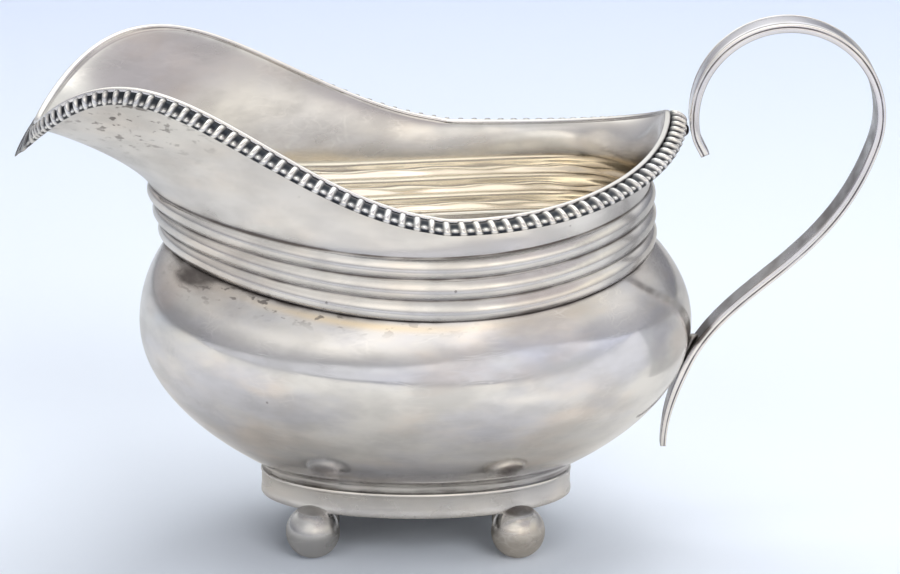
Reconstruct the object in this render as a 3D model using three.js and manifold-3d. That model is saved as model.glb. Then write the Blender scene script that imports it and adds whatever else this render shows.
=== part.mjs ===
// A silver cream jug of about 1810, in millimetres, +Z up, with +X towards the handle.
// The oval bowl and the reeded neck are two sheets joined at the girdle. A collet ring and four ball
// feet carry them, a gadroon border strengthens the rim, and one looped strap makes the handle.
// The origin is on the table, under the middle of the whole jug.

import * as THREE from "three";
import Module from "manifold-3d";
import { mergeVertices } from "three/addons/utils/BufferGeometryUtils.js";

const wasm = await Module();
wasm.setup();

// Gauge of the silver and the clearance between pieces that are soldered together
const SHEET = 0.9;
const CLEARANCE = 0.3;

// Ball feet
const BALL_RADIUS = 4.5;
const BALL_WORN_DEPTH = 0.3;
const BALL_NOTCH_DEPTH = 1.0;
const FEET_ANGLE = THREE.MathUtils.degToRad(49);

// Brackets that hug the back of each ball and are soldered inside the collet ring
const BRACKET_THICKNESS = 1.1;
const BRACKET_WIDTH = 4.4;
const BRACKET_TAIL_ANGLE = THREE.MathUtils.degToRad(-28);
const BRACKET_TOP_CLEARANCE = 0.6;

// Collet ring
const RING_HALF_LENGTH = 26;
const RING_HALF_WIDTH = 14.6;
const RING_HEIGHT = 4.2;
const RING_WALL = 1.0;
const RING_LIP = 0.25;
const RING_BEAD_HEIGHT = 0.5;
const RING_BEAD_TOP = 1.3;
const RING_STEP_HEIGHT = 0.3;

// Bowl
const BODY_HALF_LENGTH = 45.9;
const BODY_HALF_WIDTH = 33.6;
const BODY_EGG = 0.08;
const BODY_SEAT_HEIGHT = 1;
const BODY_DEPTH = 24.6;
const LOWER_TURN = THREE.MathUtils.degToRad(25);
const UPPER_TURN = THREE.MathUtils.degToRad(32);

// Girdle of three reeds, which dips at the sides of the jug
const GIRDLE_RISE = 14;
const GIRDLE_HEIGHT = 10;
const GIRDLE_DIP = 4.6;
const GIRDLE_FOOT_HALF_LENGTH = 40.2;
const GIRDLE_FOOT_HALF_WIDTH = 31;
const GIRDLE_FOOT_SHIFT = -1;
const GIRDLE_HEAD_HALF_LENGTH = 41.2;
const GIRDLE_HEAD_HALF_WIDTH = 29.2;
const GIRDLE_HEAD_SHIFT = -2.5;
const GIRDLE_EGG = 0.22;
const REED_COUNT = 3;
const REED_DEPTH = 0.8;
const REED_FULLNESS = 0.8;

// Rim, given along the joint between its lip and its border
const RIM_REAR_REACH = 41.8;
const RIM_WIDEST_AT = 3.3;
const RIM_HALF_WIDTH = 31.6;
const SPOUT_REACH = 62.3;
const SPOUT_PINCH = 0.07;
const SPOUT_FULLNESS = 0.36;
const RIM_LOW_ANGLE = THREE.MathUtils.degToRad(85);
const RIM_CREST_ANGLE = THREE.MathUtils.degToRad(137);

// Heights of the rim above the girdle's upper edge at the ends of the jug
const RIM_REAR_RISE = 11.5;
const RIM_LOW_RISE = 2.1;
const RIM_CREST_RISE = 21;
const RIM_SPOUT_RISE = 10.4;
const RIM_REAR_SOFTNESS = THREE.MathUtils.degToRad(4);

// Neck and spout: how late the sheet flares out and how early it climbs to the rim
const NECK_FLARE_AT_SIDES = 1.5;
const NECK_FLARE_AT_SPOUT = 1.3;
const NECK_CLIMB_AT_SIDES = 1.3;
const NECK_CLIMB_AT_SPOUT = 1.15;
const SPOUT_BLEND = 4;

// Lip strip and gadroon border along the rim
const LIP_WIDTH = 1.3;
const LIP_THICKNESS = 0.8;
const LIP_CROWN = 0.12;
const SHEET_INSET = 0.2;
const BORDER_WIDTH = 2.5;
const BORDER_HEIGHT = 1.9;
const BORDER_SHOULDER_DROP = 0.4;
const BORDER_EDGE_DROP = 1;
const BORDER_UNDERCUT = 0.6;
const LOBE_PITCH = 2.26;
const LOBE_RELIEF = 0.35;

// Droop of the whole rim at the spout, and the pointed beak in which the border's two lengths meet
const SPOUT_DROOP = THREE.MathUtils.degToRad(18);
const SPOUT_DROOP_SPREAD = 0.3;
const BEAK_DROOP = THREE.MathUtils.degToRad(44);
const BEAK_STRETCH = 2;
const BEAK_SPREAD = 0.07;

// Handle strap, given on its centreline
const STRAP_THICKNESS = 1.5;
const STRAP_THICKNESS_TIP = 1;
const STRAP_WIDTH_TOP = 7.4;
const STRAP_WIDTH_SEAT = 5;
const STRAP_WIDTH_TIP = 2.6;
const STRAP_CORNER = 0.45;
const STRAP_SWELL = 0.7;
const STRAP_TAPER = 1.4;
const LOOP_RADIUS = 15.2;
const LOOP_CENTRE_DROP = 0.6;
const LOOP_ENTRY_ANGLE = THREE.MathUtils.degToRad(192);
const LOOP_EXIT_ANGLE = THREE.MathUtils.degToRad(-18);
const UPPER_TAIL_CURL = 1.6;
const UPPER_TAIL_DROP = 3.6;
const HANDLE_SEAT_TURN = THREE.MathUtils.degToRad(7);
const SWEEP_START_PULL = 22;
const SWEEP_END_PULL = 15.5;
const TAIL_PULL = 0.35;
const LOWER_TAIL_CURL = 3.7;
const LOWER_TAIL_DROP = 14.6;
const SOLDER_RADIUS = 0.8;

// Fineness of the faceted surfaces
const COLUMNS = 64;
const BOWL_ROWS_BELOW = 7;
const BOWL_ROWS_ABOVE = 4;
const REED_ROWS = 4;
const NECK_ROWS = 7;
const RIM_COLUMNS = 96;
const STRAP_STATIONS = 52;
const BALL_ROWS = 9;
const BALL_COLUMNS = 18;
const BALL_POLE_ANGLE = 0.15;

const TURN = Math.PI * 2;

// Heights above the table, stacked from the feet up
const ballCentreHeight = BALL_RADIUS - BALL_WORN_DEPTH;
const ringFootHeight = ballCentreHeight + BALL_RADIUS - BALL_NOTCH_DEPTH;
const ringHeadHeight = ringFootHeight + RING_HEIGHT;
const bowlFootHeight = ringHeadHeight + CLEARANCE;
const bowlArcHeight = bowlFootHeight + BODY_SEAT_HEIGHT;
const equatorHeight = bowlArcHeight + BODY_DEPTH;
const girdleFootHeight = equatorHeight + GIRDLE_RISE;
const girdleHeadHeight = girdleFootHeight + GIRDLE_HEIGHT;

// Inner face and top of the neck's sheet, in the rim's section
const sheetInnerOut = SHEET_INSET - LIP_WIDTH;
const sheetTopUp = -LIP_THICKNESS - CLEARANCE;

const lerp = THREE.MathUtils.lerp;

// Smooth step from 0 to 1 with level ends
function ease(value, from, to) {
  const share = THREE.MathUtils.clamp((value - from) / (to - from), 0, 1);
  return (1 - Math.cos(Math.PI * share)) / 2;
}

// Angle from the handle end, the same on both sides of the jug
function foldAngle(turn) {
  const wrapped = ((turn % TURN) + TURN) % TURN;
  return Math.min(wrapped, TURN - wrapped);
}

// Oval whose half-length, half-width, shift and egg shape are given; the egg is fuller at the handle
function oval(turn, halfLength, halfWidth, shift = 0, egg = 0) {
  const cos = Math.cos(turn);
  return new THREE.Vector2(shift + halfLength * cos, halfWidth * Math.sin(turn) * (1 + egg * cos));
}

function seatPlan(turn) {
  return oval(turn, RING_HALF_LENGTH, RING_HALF_WIDTH);
}

function equatorPlan(turn) {
  return oval(turn, BODY_HALF_LENGTH, BODY_HALF_WIDTH, 0, BODY_EGG);
}

function girdleFootPlan(turn) {
  return oval(turn, GIRDLE_FOOT_HALF_LENGTH, GIRDLE_FOOT_HALF_WIDTH, GIRDLE_FOOT_SHIFT, GIRDLE_EGG);
}

function girdleHeadPlan(turn) {
  return oval(turn, GIRDLE_HEAD_HALF_LENGTH, GIRDLE_HEAD_HALF_WIDTH, GIRDLE_HEAD_SHIFT, GIRDLE_EGG);
}

function girdleDip(turn) {
  return GIRDLE_DIP * Math.sin(turn) ** 2;
}

// Level outward normal of a plan curve
function planNormal(plan, turn) {
  const step = 1e-3;
  const along = plan(turn + step).sub(plan(turn - step));
  return new THREE.Vector2(along.y, -along.x).normalize();
}

// Angle from the spout's end, the same on both sides of the jug
function angleToSpout(turn) {
  return Math.PI - foldAngle(turn);
}

// Angle from the handle end whose first few degrees are rounded off
function softened(angle) {
  return Math.hypot(angle, RIM_REAR_SOFTNESS) - RIM_REAR_SOFTNESS;
}

// Height of the rim above the girdle's upper edge
function rimRise(turn) {
  const angle = foldAngle(turn);
  if (angle < RIM_LOW_ANGLE) {
    const share = softened(angle) / softened(RIM_LOW_ANGLE);
    return lerp(RIM_REAR_RISE, RIM_LOW_RISE, Math.sin((Math.PI / 2) * share));
  }
  if (angle < RIM_CREST_ANGLE) {
    return lerp(RIM_LOW_RISE, RIM_CREST_RISE, ease(angle, RIM_LOW_ANGLE, RIM_CREST_ANGLE));
  }
  return lerp(RIM_CREST_RISE, RIM_SPOUT_RISE, ease(angle, RIM_CREST_ANGLE, Math.PI));
}

// Joint between lip and border: half-ovals in plan, pinched and then full at the spout
function rimEdge(turn) {
  const cos = Math.cos(turn);
  const spoutSide = cos < 0;
  const reach = spoutSide ? SPOUT_REACH + RIM_WIDEST_AT : RIM_REAR_REACH - RIM_WIDEST_AT;
  const shape = spoutSide ? 1 - SPOUT_PINCH * Math.sin(2 * turn) ** 2 + SPOUT_FULLNESS * cos ** 4 : 1;
  const x = RIM_WIDEST_AT + reach * cos;
  const y = RIM_HALF_WIDTH * Math.sin(turn) * shape;
  return new THREE.Vector3(x, y, girdleHeadHeight + rimRise(turn));
}

// Point of the rim's section: out is measured away from the jug, up along the section's own upright.
// The section turns down towards the spout's end, by a further droop where one is given.
function rimPoint(turn, out, up, furtherDroop = 0) {
  const step = 1e-3;
  const edge = rimEdge(turn);
  const along = rimEdge(turn + step).sub(rimEdge(turn - step)).normalize();
  const outward = new THREE.Vector3(along.y, -along.x, 0).normalize();
  const upright = new THREE.Vector3().crossVectors(outward, along).normalize();
  if (upright.z < 0) {
    upright.negate();
  }
  const nearness = Math.exp(-((angleToSpout(turn) / SPOUT_DROOP_SPREAD) ** 2));
  const droop = SPOUT_DROOP * nearness + furtherDroop;
  const level = out * Math.cos(droop) + up * Math.sin(droop);
  const raised = up * Math.cos(droop) - out * Math.sin(droop);
  return edge.addScaledVector(outward, level).addScaledVector(upright, raised);
}

// Point of the border's section, which is drawn out and turned down in the beak
function borderPoint(turn, out, up) {
  const beak = Math.exp(-angleToSpout(turn) / BEAK_SPREAD);
  return rimPoint(turn, out * (1 + BEAK_STRETCH * beak), up, BEAK_DROOP * beak);
}

// One closed body from rings of points. A looped body joins its last ring to its first; the others
// close each end with a fan.
function loft(rings, looped) {
  const size = rings[0].length;
  const positions = [];
  const indices = [];
  for (const ring of rings) {
    for (const point of ring) {
      positions.push(point.x, point.y, point.z);
    }
  }
  const spans = looped ? rings.length : rings.length - 1;
  for (let row = 0; row < spans; row += 1) {
    const lower = row * size;
    const upper = ((row + 1) % rings.length) * size;
    for (let column = 0; column < size; column += 1) {
      const next = (column + 1) % size;
      indices.push(lower + column, lower + next, upper + next);
      indices.push(lower + column, upper + next, upper + column);
    }
  }
  if (!looped) {
    addFan(positions, indices, rings[0], 0, true);
    addFan(positions, indices, rings[rings.length - 1], (rings.length - 1) * size, false);
  }
  const geometry = new THREE.BufferGeometry();
  geometry.setAttribute("position", new THREE.Float32BufferAttribute(positions, 3));
  geometry.setIndex(faceOutwards(positions, indices));
  geometry.computeVertexNormals();
  return geometry;
}

function addFan(positions, indices, ring, first, reversed) {
  const centre = new THREE.Vector3();
  for (const point of ring) {
    centre.addScaledVector(point, 1 / ring.length);
  }
  const middle = positions.length / 3;
  positions.push(centre.x, centre.y, centre.z);
  for (let column = 0; column < ring.length; column += 1) {
    const here = first + column;
    const next = first + ((column + 1) % ring.length);
    indices.push(middle, reversed ? next : here, reversed ? here : next);
  }
}

// Turns every face over if the body encloses a negative volume
function faceOutwards(positions, indices) {
  const corners = [new THREE.Vector3(), new THREE.Vector3(), new THREE.Vector3()];
  let volume = 0;
  for (let face = 0; face < indices.length; face += 3) {
    corners.forEach((corner, place) => corner.fromArray(positions, indices[face + place] * 3));
    volume += corners[0].dot(corners[1].clone().cross(corners[2])) / 6;
  }
  return volume > 0 ? indices : indices.slice().reverse();
}

// Rings of points for each height of a surface, from a function of turn and row
function ringsOf(rows, columns, pointAt) {
  return rows.map((row) => {
    const ring = [];
    for (let column = 0; column < columns; column += 1) {
      ring.push(pointAt((column / columns) * TURN, row));
    }
    return ring;
  });
}

// The same surface set inwards by the sheet's gauge. Rows named as joints are set in level, so that
// the two sheets meet with square edges.
function insideOf(rings, jointRows) {
  const size = rings[0].length;
  return rings.map((ring, row) => ring.map((point, column) => {
    const above = rings[Math.min(row + 1, rings.length - 1)][column];
    const below = rings[Math.max(row - 1, 0)][column];
    const ahead = ring[(column + 1) % size];
    const behind = ring[(column + size - 1) % size];
    const normal = ahead.clone().sub(behind).cross(above.clone().sub(below));
    if (jointRows.includes(row)) {
      normal.z = 0;
    }
    return point.clone().addScaledVector(normal.normalize(), -SHEET);
  }));
}

function evenRows(count, from, to) {
  return Array.from({ length: count + 1 }, (unused, index) => lerp(from, to, index / count));
}

// Point of the bowl's outer surface; the rise angle is negative below the widest line
function bowlPoint(turn, riseAngle) {
  const below = riseAngle < 0;
  const fullTurn = below ? LOWER_TURN : UPPER_TURN;
  const share = (1 - Math.cos(riseAngle)) / (1 - Math.cos(fullTurn));
  const rise = Math.sin(Math.abs(riseAngle)) / Math.sin(fullTurn);
  const end = below ? seatPlan(turn) : girdleFootPlan(turn);
  const endHeight = below ? bowlArcHeight : girdleFootHeight - girdleDip(turn) - CLEARANCE;
  const plan = equatorPlan(turn).lerp(end, share);
  return new THREE.Vector3(plan.x, plan.y, lerp(equatorHeight, endHeight, rise));
}

// Point of the bowl's foot, a short upright seat on the collet ring
function bowlSeatPoint(turn, height) {
  const plan = seatPlan(turn);
  return new THREE.Vector3(plan.x, plan.y, height);
}

function bowlGeometry() {
  const below = evenRows(BOWL_ROWS_BELOW, -LOWER_TURN, 0);
  const above = evenRows(BOWL_ROWS_ABOVE, 0, UPPER_TURN).slice(1);
  const seat = ringsOf([bowlFootHeight], COLUMNS, bowlSeatPoint);
  const outer = ringsOf([...below, ...above], COLUMNS, bowlPoint);
  const inner = insideOf(outer, [outer.length - 1]);
  return loft([...seat, ...outer, ...inner.reverse()], false);
}

// Point of the girdle; the share runs from its foot to its head
function girdlePoint(turn, share) {
  const plan = girdleFootPlan(turn).lerp(girdleHeadPlan(turn), share);
  const acrossReed = (share * REED_COUNT) % 1;
  const bulge = REED_DEPTH * Math.sin(Math.PI * acrossReed) ** REED_FULLNESS;
  plan.addScaledVector(planNormal(girdleHeadPlan, turn), bulge);
  const height = girdleFootHeight + GIRDLE_HEIGHT * share - girdleDip(turn);
  return new THREE.Vector3(plan.x, plan.y, height);
}

// Point of the neck and spout; the share runs from the girdle's head to the rim
function neckPoint(turn, share) {
  const head = girdlePoint(turn, 1);
  const top = rimPoint(turn, sheetInnerOut + SHEET, sheetTopUp - SHEET / 2);
  const spout = ((1 - Math.cos(turn)) / 2) ** SPOUT_BLEND;
  const flare = share ** lerp(NECK_FLARE_AT_SIDES, NECK_FLARE_AT_SPOUT, spout);
  const climb = 1 - (1 - share) ** lerp(NECK_CLIMB_AT_SIDES, NECK_CLIMB_AT_SPOUT, spout);
  return new THREE.Vector3(lerp(head.x, top.x, flare), lerp(head.y, top.y, flare), lerp(head.z, top.z, climb));
}

function neckGeometry() {
  const reeds = evenRows(REED_COUNT * REED_ROWS, 0, 1);
  const neck = evenRows(NECK_ROWS, 0, 1).slice(1);
  const outer = [...ringsOf(reeds, COLUMNS, girdlePoint), ...ringsOf(neck, COLUMNS, neckPoint)];
  const inner = insideOf(outer, [0]);
  const edge = (turn) => rimPoint(turn, sheetInnerOut, sheetTopUp);
  inner.splice(-1, 1, ...ringsOf([1], COLUMNS, edge));
  return loft([...outer, ...inner.reverse()], true);
}

// Wall of the collet ring: out is measured from its plan, height from its lower edge
function ringPoint(turn, [out, height]) {
  const plan = seatPlan(turn).addScaledVector(planNormal(seatPlan, turn), out);
  return new THREE.Vector3(plan.x, plan.y, ringFootHeight + height);
}

function colletRingGeometry() {
  const section = [
    [0, 0],
    [RING_LIP, RING_BEAD_HEIGHT],
    [0, RING_BEAD_TOP],
    [0, RING_HEIGHT - 2 * RING_STEP_HEIGHT],
    [RING_LIP / 2, RING_HEIGHT - RING_STEP_HEIGHT],
    [0, RING_HEIGHT],
    [-RING_WALL, RING_HEIGHT],
    [-RING_WALL, 0],
  ];
  return loft(ringsOf(section, COLUMNS, ringPoint), true);
}

// Space that a foot leaves free for the collet ring
function colletRingEnvelope() {
  const section = [
    [RING_LIP + CLEARANCE, -CLEARANCE],
    [RING_LIP + CLEARANCE, RING_HEIGHT],
    [-RING_WALL - CLEARANCE, RING_HEIGHT],
    [-RING_WALL - CLEARANCE, -CLEARANCE],
  ];
  return loft(ringsOf(section, COLUMNS, ringPoint), true);
}

function solidOf(geometry) {
  const bare = geometry.clone();
  bare.deleteAttribute("normal");
  bare.deleteAttribute("uv");
  const merged = mergeVertices(bare, 1e-5);
  const vertProperties = new Float32Array(merged.attributes.position.array);
  const triVerts = new Uint32Array(merged.index.array);
  return new wasm.Manifold(new wasm.Mesh({ numProp: 3, vertProperties, triVerts }));
}

function geometryOf(solid) {
  const mesh = solid.getMesh();
  const geometry = new THREE.BufferGeometry();
  geometry.setAttribute("position", new THREE.BufferAttribute(new Float32Array(mesh.vertProperties), 3));
  geometry.setIndex(new THREE.BufferAttribute(new Uint32Array(mesh.triVerts), 1));
  geometry.computeVertexNormals();
  return geometry;
}

// A ball with a worn flat underneath, notched where it is soldered to the collet ring
function ballGeometry(place) {
  const flatAngle = Math.asin(ballCentreHeight / BALL_RADIUS);
  const profile = [new THREE.Vector2(0, 0)];
  for (const angle of evenRows(BALL_ROWS, -flatAngle, Math.PI / 2 - BALL_POLE_ANGLE)) {
    const radius = BALL_RADIUS * Math.cos(angle);
    profile.push(new THREE.Vector2(radius, ballCentreHeight + BALL_RADIUS * Math.sin(angle)));
  }
  profile.push(new THREE.Vector2(0, ballCentreHeight + BALL_RADIUS));
  const ball = new THREE.LatheGeometry(profile, BALL_COLUMNS).rotateX(Math.PI / 2);
  ball.translate(place.x, place.y, 0);
  return geometryOf(solidOf(ball).subtract(solidOf(colletRingEnvelope())));
}

// A bent tongue in the upright plane through the ball's centre, extruded to its width.
// In the shape, x is measured inwards from the ball's centre and y is the height.
function bracketGeometry() {
  const inner = BALL_RADIUS + CLEARANCE;
  const outer = inner + BRACKET_THICKNESS;
  const wall = RING_WALL + CLEARANCE;
  const top = ringHeadHeight - BRACKET_TOP_CLEARANCE;
  const innerAngle = Math.acos(wall / inner);
  const outerAngle = Math.acos((wall + BRACKET_THICKNESS) / outer);
  const shape = new THREE.Shape();
  shape.moveTo(wall, top);
  shape.absarc(0, ballCentreHeight, inner, innerAngle, BRACKET_TAIL_ANGLE, true);
  shape.absarc(0, ballCentreHeight, outer, BRACKET_TAIL_ANGLE, outerAngle, false);
  shape.lineTo(wall + BRACKET_THICKNESS, top);
  shape.closePath();
  const geometry = new THREE.ExtrudeGeometry(shape, { depth: BRACKET_WIDTH, bevelEnabled: false, curveSegments: 8 });
  geometry.translate(0, 0, -BRACKET_WIDTH / 2);
  geometry.rotateX(Math.PI / 2);
  return geometry;
}

// Plain flat strip that covers the sheet's edge
function lipGeometry() {
  const section = [
    [-LIP_WIDTH, -LIP_THICKNESS],
    [0, -LIP_THICKNESS],
    [0, 0],
    [-LIP_WIDTH / 2, LIP_CROWN],
    [-LIP_WIDTH, 0],
  ];
  return loft(ringsOf(section, RIM_COLUMNS, (turn, [out, up]) => rimPoint(turn, out, up)), true);
}

// Turns at equal steps along the rim, from the back of the jug to the beak
function rimTurns(from, to, count) {
  const samples = evenRows(400, from, to);
  const lengths = [0];
  for (let index = 1; index < samples.length; index += 1) {
    const step = rimEdge(samples[index]).distanceTo(rimEdge(samples[index - 1]));
    lengths.push(lengths[index - 1] + step);
  }
  const total = lengths[lengths.length - 1];
  return evenRows(count, 0, total).map((length) => {
    const index = Math.max(1, lengths.findIndex((reached) => reached >= length - 1e-9));
    const share = (length - lengths[index - 1]) / (lengths[index] - lengths[index - 1]);
    return lerp(samples[index - 1], samples[index], share);
  });
}

function rimLength(from, to) {
  let length = 0;
  const samples = evenRows(400, from, to);
  for (let index = 1; index < samples.length; index += 1) {
    length += rimEdge(samples[index]).distanceTo(rimEdge(samples[index - 1]));
  }
  return length;
}

// Half of the gadroon border: a half-round moulding whose slanted lobes swell and sink
function gadroonGeometry(side) {
  const endTurn = CLEARANCE / RIM_HALF_WIDTH;
  const lobes = Math.round(rimLength(0, Math.PI) / LOBE_PITCH);
  const turns = rimTurns(endTurn, Math.PI - endTurn, lobes * 2);
  const rings = turns.map((turn, station) => {
    const sinkInside = station % 2 === 0 ? LOBE_RELIEF : 0;
    const sinkOutside = LOBE_RELIEF - sinkInside;
    const edge = CLEARANCE + BORDER_WIDTH - sinkOutside;
    const section = [
      [CLEARANCE, 0],
      [CLEARANCE + BORDER_WIDTH / 2, -BORDER_SHOULDER_DROP - sinkInside],
      [edge, -BORDER_EDGE_DROP - sinkOutside],
      [edge - BORDER_UNDERCUT, -BORDER_HEIGHT],
      [CLEARANCE, -BORDER_HEIGHT],
    ];
    return section.map(([out, up]) => borderPoint(side * turn, out, up));
  });
  return loft(rings, false);
}

// Length and height of the bowl's rear end, on the jug's upright middle plane
function bowlRear(riseAngle) {
  const point = bowlPoint(0, riseAngle);
  return new THREE.Vector2(point.x, point.z);
}

// Centreline of the handle in the upright middle plane, with the widths at its stations
function handlePath() {
  const borderRear = rimPoint(0, CLEARANCE + BORDER_WIDTH, -BORDER_EDGE_DROP);
  const half = STRAP_THICKNESS / 2;
  const centre = new THREE.Vector2(
    borderRear.x + CLEARANCE + half + LOOP_RADIUS,
    borderRear.z + LOOP_CENTRE_DROP,
  );
  const onLoop = (angle) => new THREE.Vector2(LOOP_RADIUS, 0).rotateAround(new THREE.Vector2(), angle).add(centre);
  const along = (angle) => new THREE.Vector2(Math.sin(angle), -Math.cos(angle));
  const entry = onLoop(LOOP_ENTRY_ANGLE);
  const entryWay = along(LOOP_ENTRY_ANGLE);
  const tailStart = new THREE.Vector2(entry.x + UPPER_TAIL_CURL, entry.y - UPPER_TAIL_DROP);
  const exit = onLoop(LOOP_EXIT_ANGLE);
  const exitWay = along(LOOP_EXIT_ANGLE);

  const below = bowlRear(-HANDLE_SEAT_TURN - 1e-3);
  const slope = below.clone().sub(bowlRear(-HANDLE_SEAT_TURN + 1e-3)).normalize();
  const normal = new THREE.Vector2(-slope.y, slope.x);
  const seat = bowlRear(-HANDLE_SEAT_TURN).addScaledVector(normal, CLEARANCE + half);
  const tailEnd = new THREE.Vector2(seat.x - LOWER_TAIL_CURL, seat.y - LOWER_TAIL_DROP);

  const path = new THREE.CurvePath();
  path.add(new THREE.CubicBezierCurve(
    tailStart,
    tailStart.clone().add(new THREE.Vector2(-UPPER_TAIL_CURL * TAIL_PULL, UPPER_TAIL_DROP * TAIL_PULL)),
    entry.clone().addScaledVector(entryWay, -UPPER_TAIL_DROP * TAIL_PULL),
    entry,
  ));
  path.add(new THREE.EllipseCurve(
    centre.x, centre.y, LOOP_RADIUS, LOOP_RADIUS, LOOP_ENTRY_ANGLE, LOOP_EXIT_ANGLE, true,
  ));
  path.add(new THREE.CubicBezierCurve(
    exit,
    exit.clone().addScaledVector(exitWay, SWEEP_START_PULL),
    seat.clone().addScaledVector(slope, -SWEEP_END_PULL),
    seat,
  ));
  path.add(new THREE.CubicBezierCurve(
    seat,
    seat.clone().addScaledVector(slope, LOWER_TAIL_DROP * TAIL_PULL),
    tailEnd.clone().add(new THREE.Vector2(0, LOWER_TAIL_DROP * TAIL_PULL)),
    tailEnd,
  ));
  const lengths = path.getCurveLengths();
  return { path, lengths, seat, slope, normal, entry, centre };
}

// Width of the strap at a distance along its centreline
function strapWidth(distance, lengths) {
  const [tail, loop, sweep, total] = lengths;
  const top = (tail + loop) / 2;
  if (distance < top) {
    return lerp(STRAP_WIDTH_TIP, STRAP_WIDTH_TOP, Math.sin((Math.PI / 2) * (distance / top)) ** STRAP_SWELL);
  }
  if (distance < sweep) {
    return lerp(STRAP_WIDTH_TOP, STRAP_WIDTH_SEAT, ease(distance, top, sweep));
  }
  return lerp(STRAP_WIDTH_SEAT, STRAP_WIDTH_TIP, ((distance - sweep) / (total - sweep)) ** STRAP_TAPER);
}

// Thickness of the strap, which is hammered thinner below its seat
function strapThickness(distance, lengths) {
  const [, , sweep, total] = lengths;
  return lerp(STRAP_THICKNESS, STRAP_THICKNESS_TIP, ease(distance, sweep, total));
}

function handleGeometry(handle) {
  const corner = STRAP_CORNER;
  const total = handle.lengths[handle.lengths.length - 1];
  const rings = evenRows(STRAP_STATIONS, 0, 1).map((share) => {
    const half = strapThickness(share * total, handle.lengths) / 2;
    const place = handle.path.getPointAt(share);
    const way = handle.path.getTangentAt(share);
    const side = new THREE.Vector2(-way.y, way.x);
    const reach = strapWidth(share * total, handle.lengths) / 2;
    const section = [
      [half - corner, reach],
      [half, reach - corner],
      [half, corner - reach],
      [half - corner, -reach],
      [corner - half, -reach],
      [-half, corner - reach],
      [-half, reach - corner],
      [corner - half, reach],
    ];
    return section.map(([out, across]) => new THREE.Vector3(place.x + side.x * out, across, place.y + side.y * out));
  });
  return loft(rings, false);
}

// Drop of solder in the corner between the border's underside and the handle's upper tail
function upperSolderPlace(handle) {
  const strapLeft = handle.centre.x - LOOP_RADIUS - STRAP_THICKNESS / 2;
  const borderFoot = rimPoint(0, CLEARANCE, -BORDER_HEIGHT);
  return new THREE.Vector3(
    strapLeft - CLEARANCE - SOLDER_RADIUS,
    0,
    borderFoot.z - CLEARANCE - SOLDER_RADIUS,
  );
}

// Drop of solder in the wedge above the handle's seat, where the strap leaves the bowl
function lowerSolderPlace(handle) {
  const room = 2 * (SOLDER_RADIUS + CLEARANCE);
  const total = handle.lengths[handle.lengths.length - 1];
  let back = handle.lengths[2];
  let strapFace;
  let bowlFace;
  do {
    back -= 0.1;
    const place = handle.path.getPointAt(back / total);
    const way = handle.path.getTangentAt(back / total);
    strapFace = new THREE.Vector2(way.y, -way.x).multiplyScalar(STRAP_THICKNESS / 2).add(place);
    bowlFace = nearestOnBowlRear(strapFace);
  } while (strapFace.distanceTo(bowlFace) < room);
  const middle = strapFace.lerp(bowlFace, 0.5);
  return new THREE.Vector3(middle.x, 0, middle.y);
}

function nearestOnBowlRear(place) {
  let nearest = bowlRear(0);
  for (const riseAngle of evenRows(120, -LOWER_TURN, UPPER_TURN)) {
    const point = bowlRear(riseAngle);
    if (point.distanceTo(place) < nearest.distanceTo(place)) {
      nearest = point;
    }
  }
  return nearest;
}

function solderGeometry() {
  return new THREE.SphereGeometry(SOLDER_RADIUS, 12, 8);
}

// Finishes of the metal
const wornSilver = new THREE.MeshStandardMaterial({ color: 0xc4bdb7, roughness: 0.24, metalness: 1 });
const neckSilver = new THREE.MeshStandardMaterial({ color: 0xcac4be, roughness: 0.22, metalness: 1 });
const borderSilver = new THREE.MeshStandardMaterial({ color: 0xb8b6b4, roughness: 0.3, metalness: 1 });
const handleSilver = new THREE.MeshStandardMaterial({ color: 0xc9c3be, roughness: 0.2, metalness: 1 });
const footSilver = new THREE.MeshStandardMaterial({ color: 0xb9b1a8, roughness: 0.32, metalness: 1 });
const solderSilver = new THREE.MeshStandardMaterial({ color: 0x8f8a86, roughness: 0.5, metalness: 1 });

const jug = new THREE.Group();

function addPiece(name, geometry, material) {
  const piece = new THREE.Mesh(geometry, material);
  piece.name = name;
  jug.add(piece);
  return piece;
}

addPiece("lower_body", bowlGeometry(), wornSilver);
addPiece("upper_body", neckGeometry(), neckSilver);
addPiece("collet_ring", colletRingGeometry(), wornSilver);
addPiece("rim_lip", lipGeometry(), neckSilver);
addPiece("gadroon_left", gadroonGeometry(-1), borderSilver);
addPiece("gadroon_right", gadroonGeometry(1), borderSilver);

const handle = handlePath();
addPiece("handle_strap", handleGeometry(handle), handleSilver);
addPiece("handle_solder_upper", solderGeometry(), solderSilver).position.copy(upperSolderPlace(handle));
addPiece("handle_solder_lower", solderGeometry(), solderSilver).position.copy(lowerSolderPlace(handle));

const feet = [
  ["rear_left", -FEET_ANGLE],
  ["rear_right", FEET_ANGLE],
  ["front_left", FEET_ANGLE - Math.PI],
  ["front_right", Math.PI - FEET_ANGLE],
];
for (const [corner, turn] of feet) {
  const place = seatPlan(turn);
  addPiece(`foot_ball_${corner}`, ballGeometry(place), footSilver);
  const bracket = addPiece(`foot_bracket_${corner}`, bracketGeometry(), footSilver);
  bracket.position.set(place.x, place.y, 0);
  const normal = planNormal(seatPlan, turn);
  bracket.rotation.z = Math.atan2(-normal.y, -normal.x);
}

// The jug is moved so that its whole box is centred over the origin
const box = new THREE.Box3().setFromObject(jug);
const middle = box.getCenter(new THREE.Vector3());
jug.position.set(-middle.x, -middle.y, 0);

export default jug;
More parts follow.
